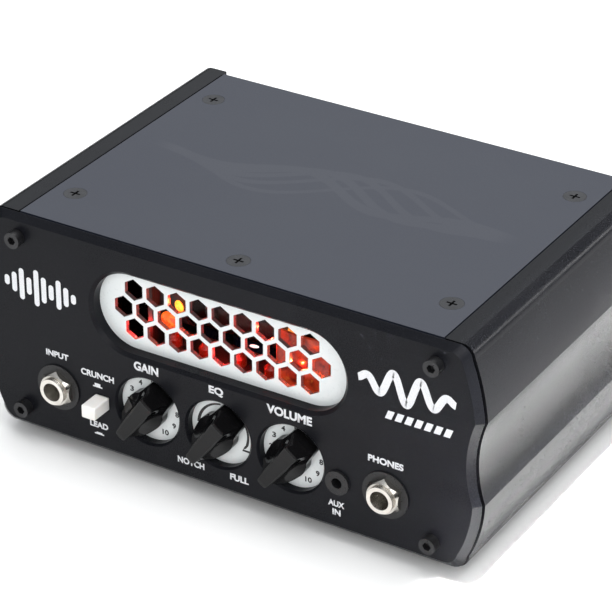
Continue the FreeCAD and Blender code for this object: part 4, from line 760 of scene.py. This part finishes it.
# emissive beads: painted glow and a painted glint standing in for bright spots seen through the window holes
bead("painted_glow_bead_yellow", -22.6, 12.0, 54.6, 1.5, 0.7, 2.1, "painted_glow_yellow", 0.35)
bead("painted_glow_bead_orange", -26.6, 12.0, 48.6, 3.0, 0.7, 2.9, "painted_glow_orange", -0.3)
bead("painted_glint_bead", 5.2, 11.6, 48.9, 1.75, 0.3, 0.55, "painted_glint_pale", 0.15)

# red lens: a shallow curved sheet with folds, standing behind the right of the window, with painted glow from its own
# emission
verts, faces = [], []
NU, NV = 44, 40
for side in (0.0, 0.6):
    for v in range(NV + 1):
        for u in range(NU + 1):
            fu, fv = u / NU, v / NV
            x = 14.0 + 19.0 * fu
            z = 39.6 + 19.4 * fv
            edge = min(fu, 1 - fu, fv, 1 - fv) * 6.0
            bow = 0.8 * math.sin(math.pi * fu) + 0.35 * math.sin(9.0 * fu + 5.0 * fv) * min(1.0, edge) + 0.22 * math.sin(21.0 * fv - 7.0 * fu) * min(1.0, edge)
            verts.append(at(x, 10.2 - bow + side, z))
for k in range(2):
    o = k * (NU + 1) * (NV + 1)
    for v in range(NV):
        for u in range(NU):
            a = o + v * (NU + 1) + u
            f = (a, a + 1, a + NU + 2, a + NU + 1)
            faces.append(f if k == 0 else tuple(reversed(f)))
o = (NU + 1) * (NV + 1)
for u in range(NU):
    faces.append((u, u + o, u + 1 + o, u + 1))
    t = NV * (NU + 1) + u
    faces.append((t, t + 1, t + 1 + o, t + o))
for v in range(NV):
    a, b = v * (NU + 1), (v + 1) * (NU + 1)
    faces.append((a, b, b + o, a + o))
    faces.append((a + NU, a + NU + o, b + NU + o, b + NU))
make("lens_painted_glow", verts, faces, MAT["lens"], "case")

# ------------------------------------------------------------------ stage
me = bpy.data.meshes.new("floor")
bm = bmesh.new()
bmesh.ops.create_grid(bm, x_segments=4, y_segments=4, size=2.4)
bm.to_mesh(me)
bm.free()
floor = bpy.data.objects.new("floor", me)
bpy.context.scene.collection.objects.link(floor)
fm = Mat("floor_pale")
c = fm.noise(6.0, 3.0, 0.5)
fm.set(Base_Color=fm.mix(fm.span(c, 0.3, 0.7, 0.0, 1.0), (0.93, 0.93, 0.925), (0.95, 0.95, 0.94)), Roughness=0.6, Specular_IOR_Level=0.2)
me.materials.append(fm.m)

world = bpy.data.worlds.new("studio")
bpy.context.scene.world = world
world.use_nodes = True
wn = world.node_tree
bg = wn.nodes["Background"]
tc = wn.nodes.new("ShaderNodeTexCoord")
sp = wn.nodes.new("ShaderNodeSeparateXYZ")
wn.links.new(tc.outputs["Generated"], sp.inputs[0])
up = wn.nodes.new("ShaderNodeMapRange")
up.interpolation_type = "SMOOTHSTEP"
wn.links.new(sp.outputs[2], up.inputs["Value"])
up.inputs["From Min"].default_value = 0.10
up.inputs["From Max"].default_value = 0.75
up.inputs["To Min"].default_value = 0.03
up.inputs["To Max"].default_value = 0.60
wn.links.new(up.outputs["Result"], bg.inputs["Strength"])
bg.inputs["Color"].default_value = (0.93, 0.96, 1.0, 1.0)


def area(name, loc, target, sx, sy, watts, color=(1, 1, 1), spread=180.0):
    l = bpy.data.lights.new(name, "AREA")
    l.shape = "RECTANGLE"
    l.size, l.size_y = sx, sy
    l.energy = watts
    l.color = color
    l.spread = math.radians(spread)
    o = bpy.data.objects.new(name, l)
    bpy.context.scene.collection.objects.link(o)
    o.location = loc
    o.rotation_euler = (Vector(target) - Vector(loc)).to_track_quat("-Z", "Y").to_euler()
    return o


area("softbox_top", (0.10, 0.30, 1.9), (0, 0, 0), 2.2, 2.0, 47)
area("softbox_back", (-0.75, 1.15, 0.85), (0, 0, 0.05), 1.1, 0.8, 2.4, (0.90, 0.94, 1.0))
area("softbox_front", (0.35, -1.25, 0.80), (0.0, -0.12, 0.0), 1.1, 0.6, 7)
area("softbox_right", (0.85, 0.98, 0.34), (0.09, 0, 0.05), 0.7, 0.16, 3.0)
area("softbox_fill", (0.95, -0.55, 0.75), (0.12, -0.08, 0), 0.6, 0.6, 3.6)
area("strip_right", (0.113, 0.03, 0.32), (0.113, 0.03, 0), 0.030, 0.34, 2.2, spread=10.0).rotation_euler = (0.0, 0.0, 0.0)


def spark(name, x, y, z, watts, color):
    l = bpy.data.lights.new(name, "POINT")
    l.shadow_soft_size = 0.0
    l.energy = watts
    l.color = color
    o = bpy.data.objects.new(name, l)
    bpy.context.scene.collection.objects.link(o)
    o.location = at(x, y, z)


# red light thrown about inside the window by the glow lamps and the tube
spark("glow_1", -34.0, 9.5, 46.0, 0.0110, (1.0, 0.02, 0.015))
spark("glow_2", -18.0, 9.5, 57.0, 0.0140, (1.0, 0.06, 0.015))
spark("glow_3", -2.0, 9.0, 44.0, 0.0100, (1.0, 0.02, 0.015))
spark("glow_4", 12.0, 9.0, 58.0, 0.0100, (1.0, 0.03, 0.015))
spark("glow_5", 24.0, 8.6, 50.0, 0.0100, (1.0, 0.10, 0.02))
spark("glow_6", 36.0, 8.6, 55.0, 0.0100, (1.0, 0.10, 0.02))

# ------------------------------------------------------------------ camera
cam = bpy.data.cameras.new("camera")
cam.sensor_width = 36.0
cam.lens = 171.85
cam.clip_start, cam.clip_end = 0.02, 20.0
co = bpy.data.objects.new("camera", cam)
bpy.context.scene.collection.objects.link(co)
co.location = (0.42224, -0.70216, 0.50649)
co.rotation_euler = (math.radians(90.0 - 29.54), 0.0, math.radians(31.36))
bpy.context.scene.camera = co
bpy.context.scene.view_settings.view_transform = "Standard"
bpy.context.scene.view_settings.look = "None"
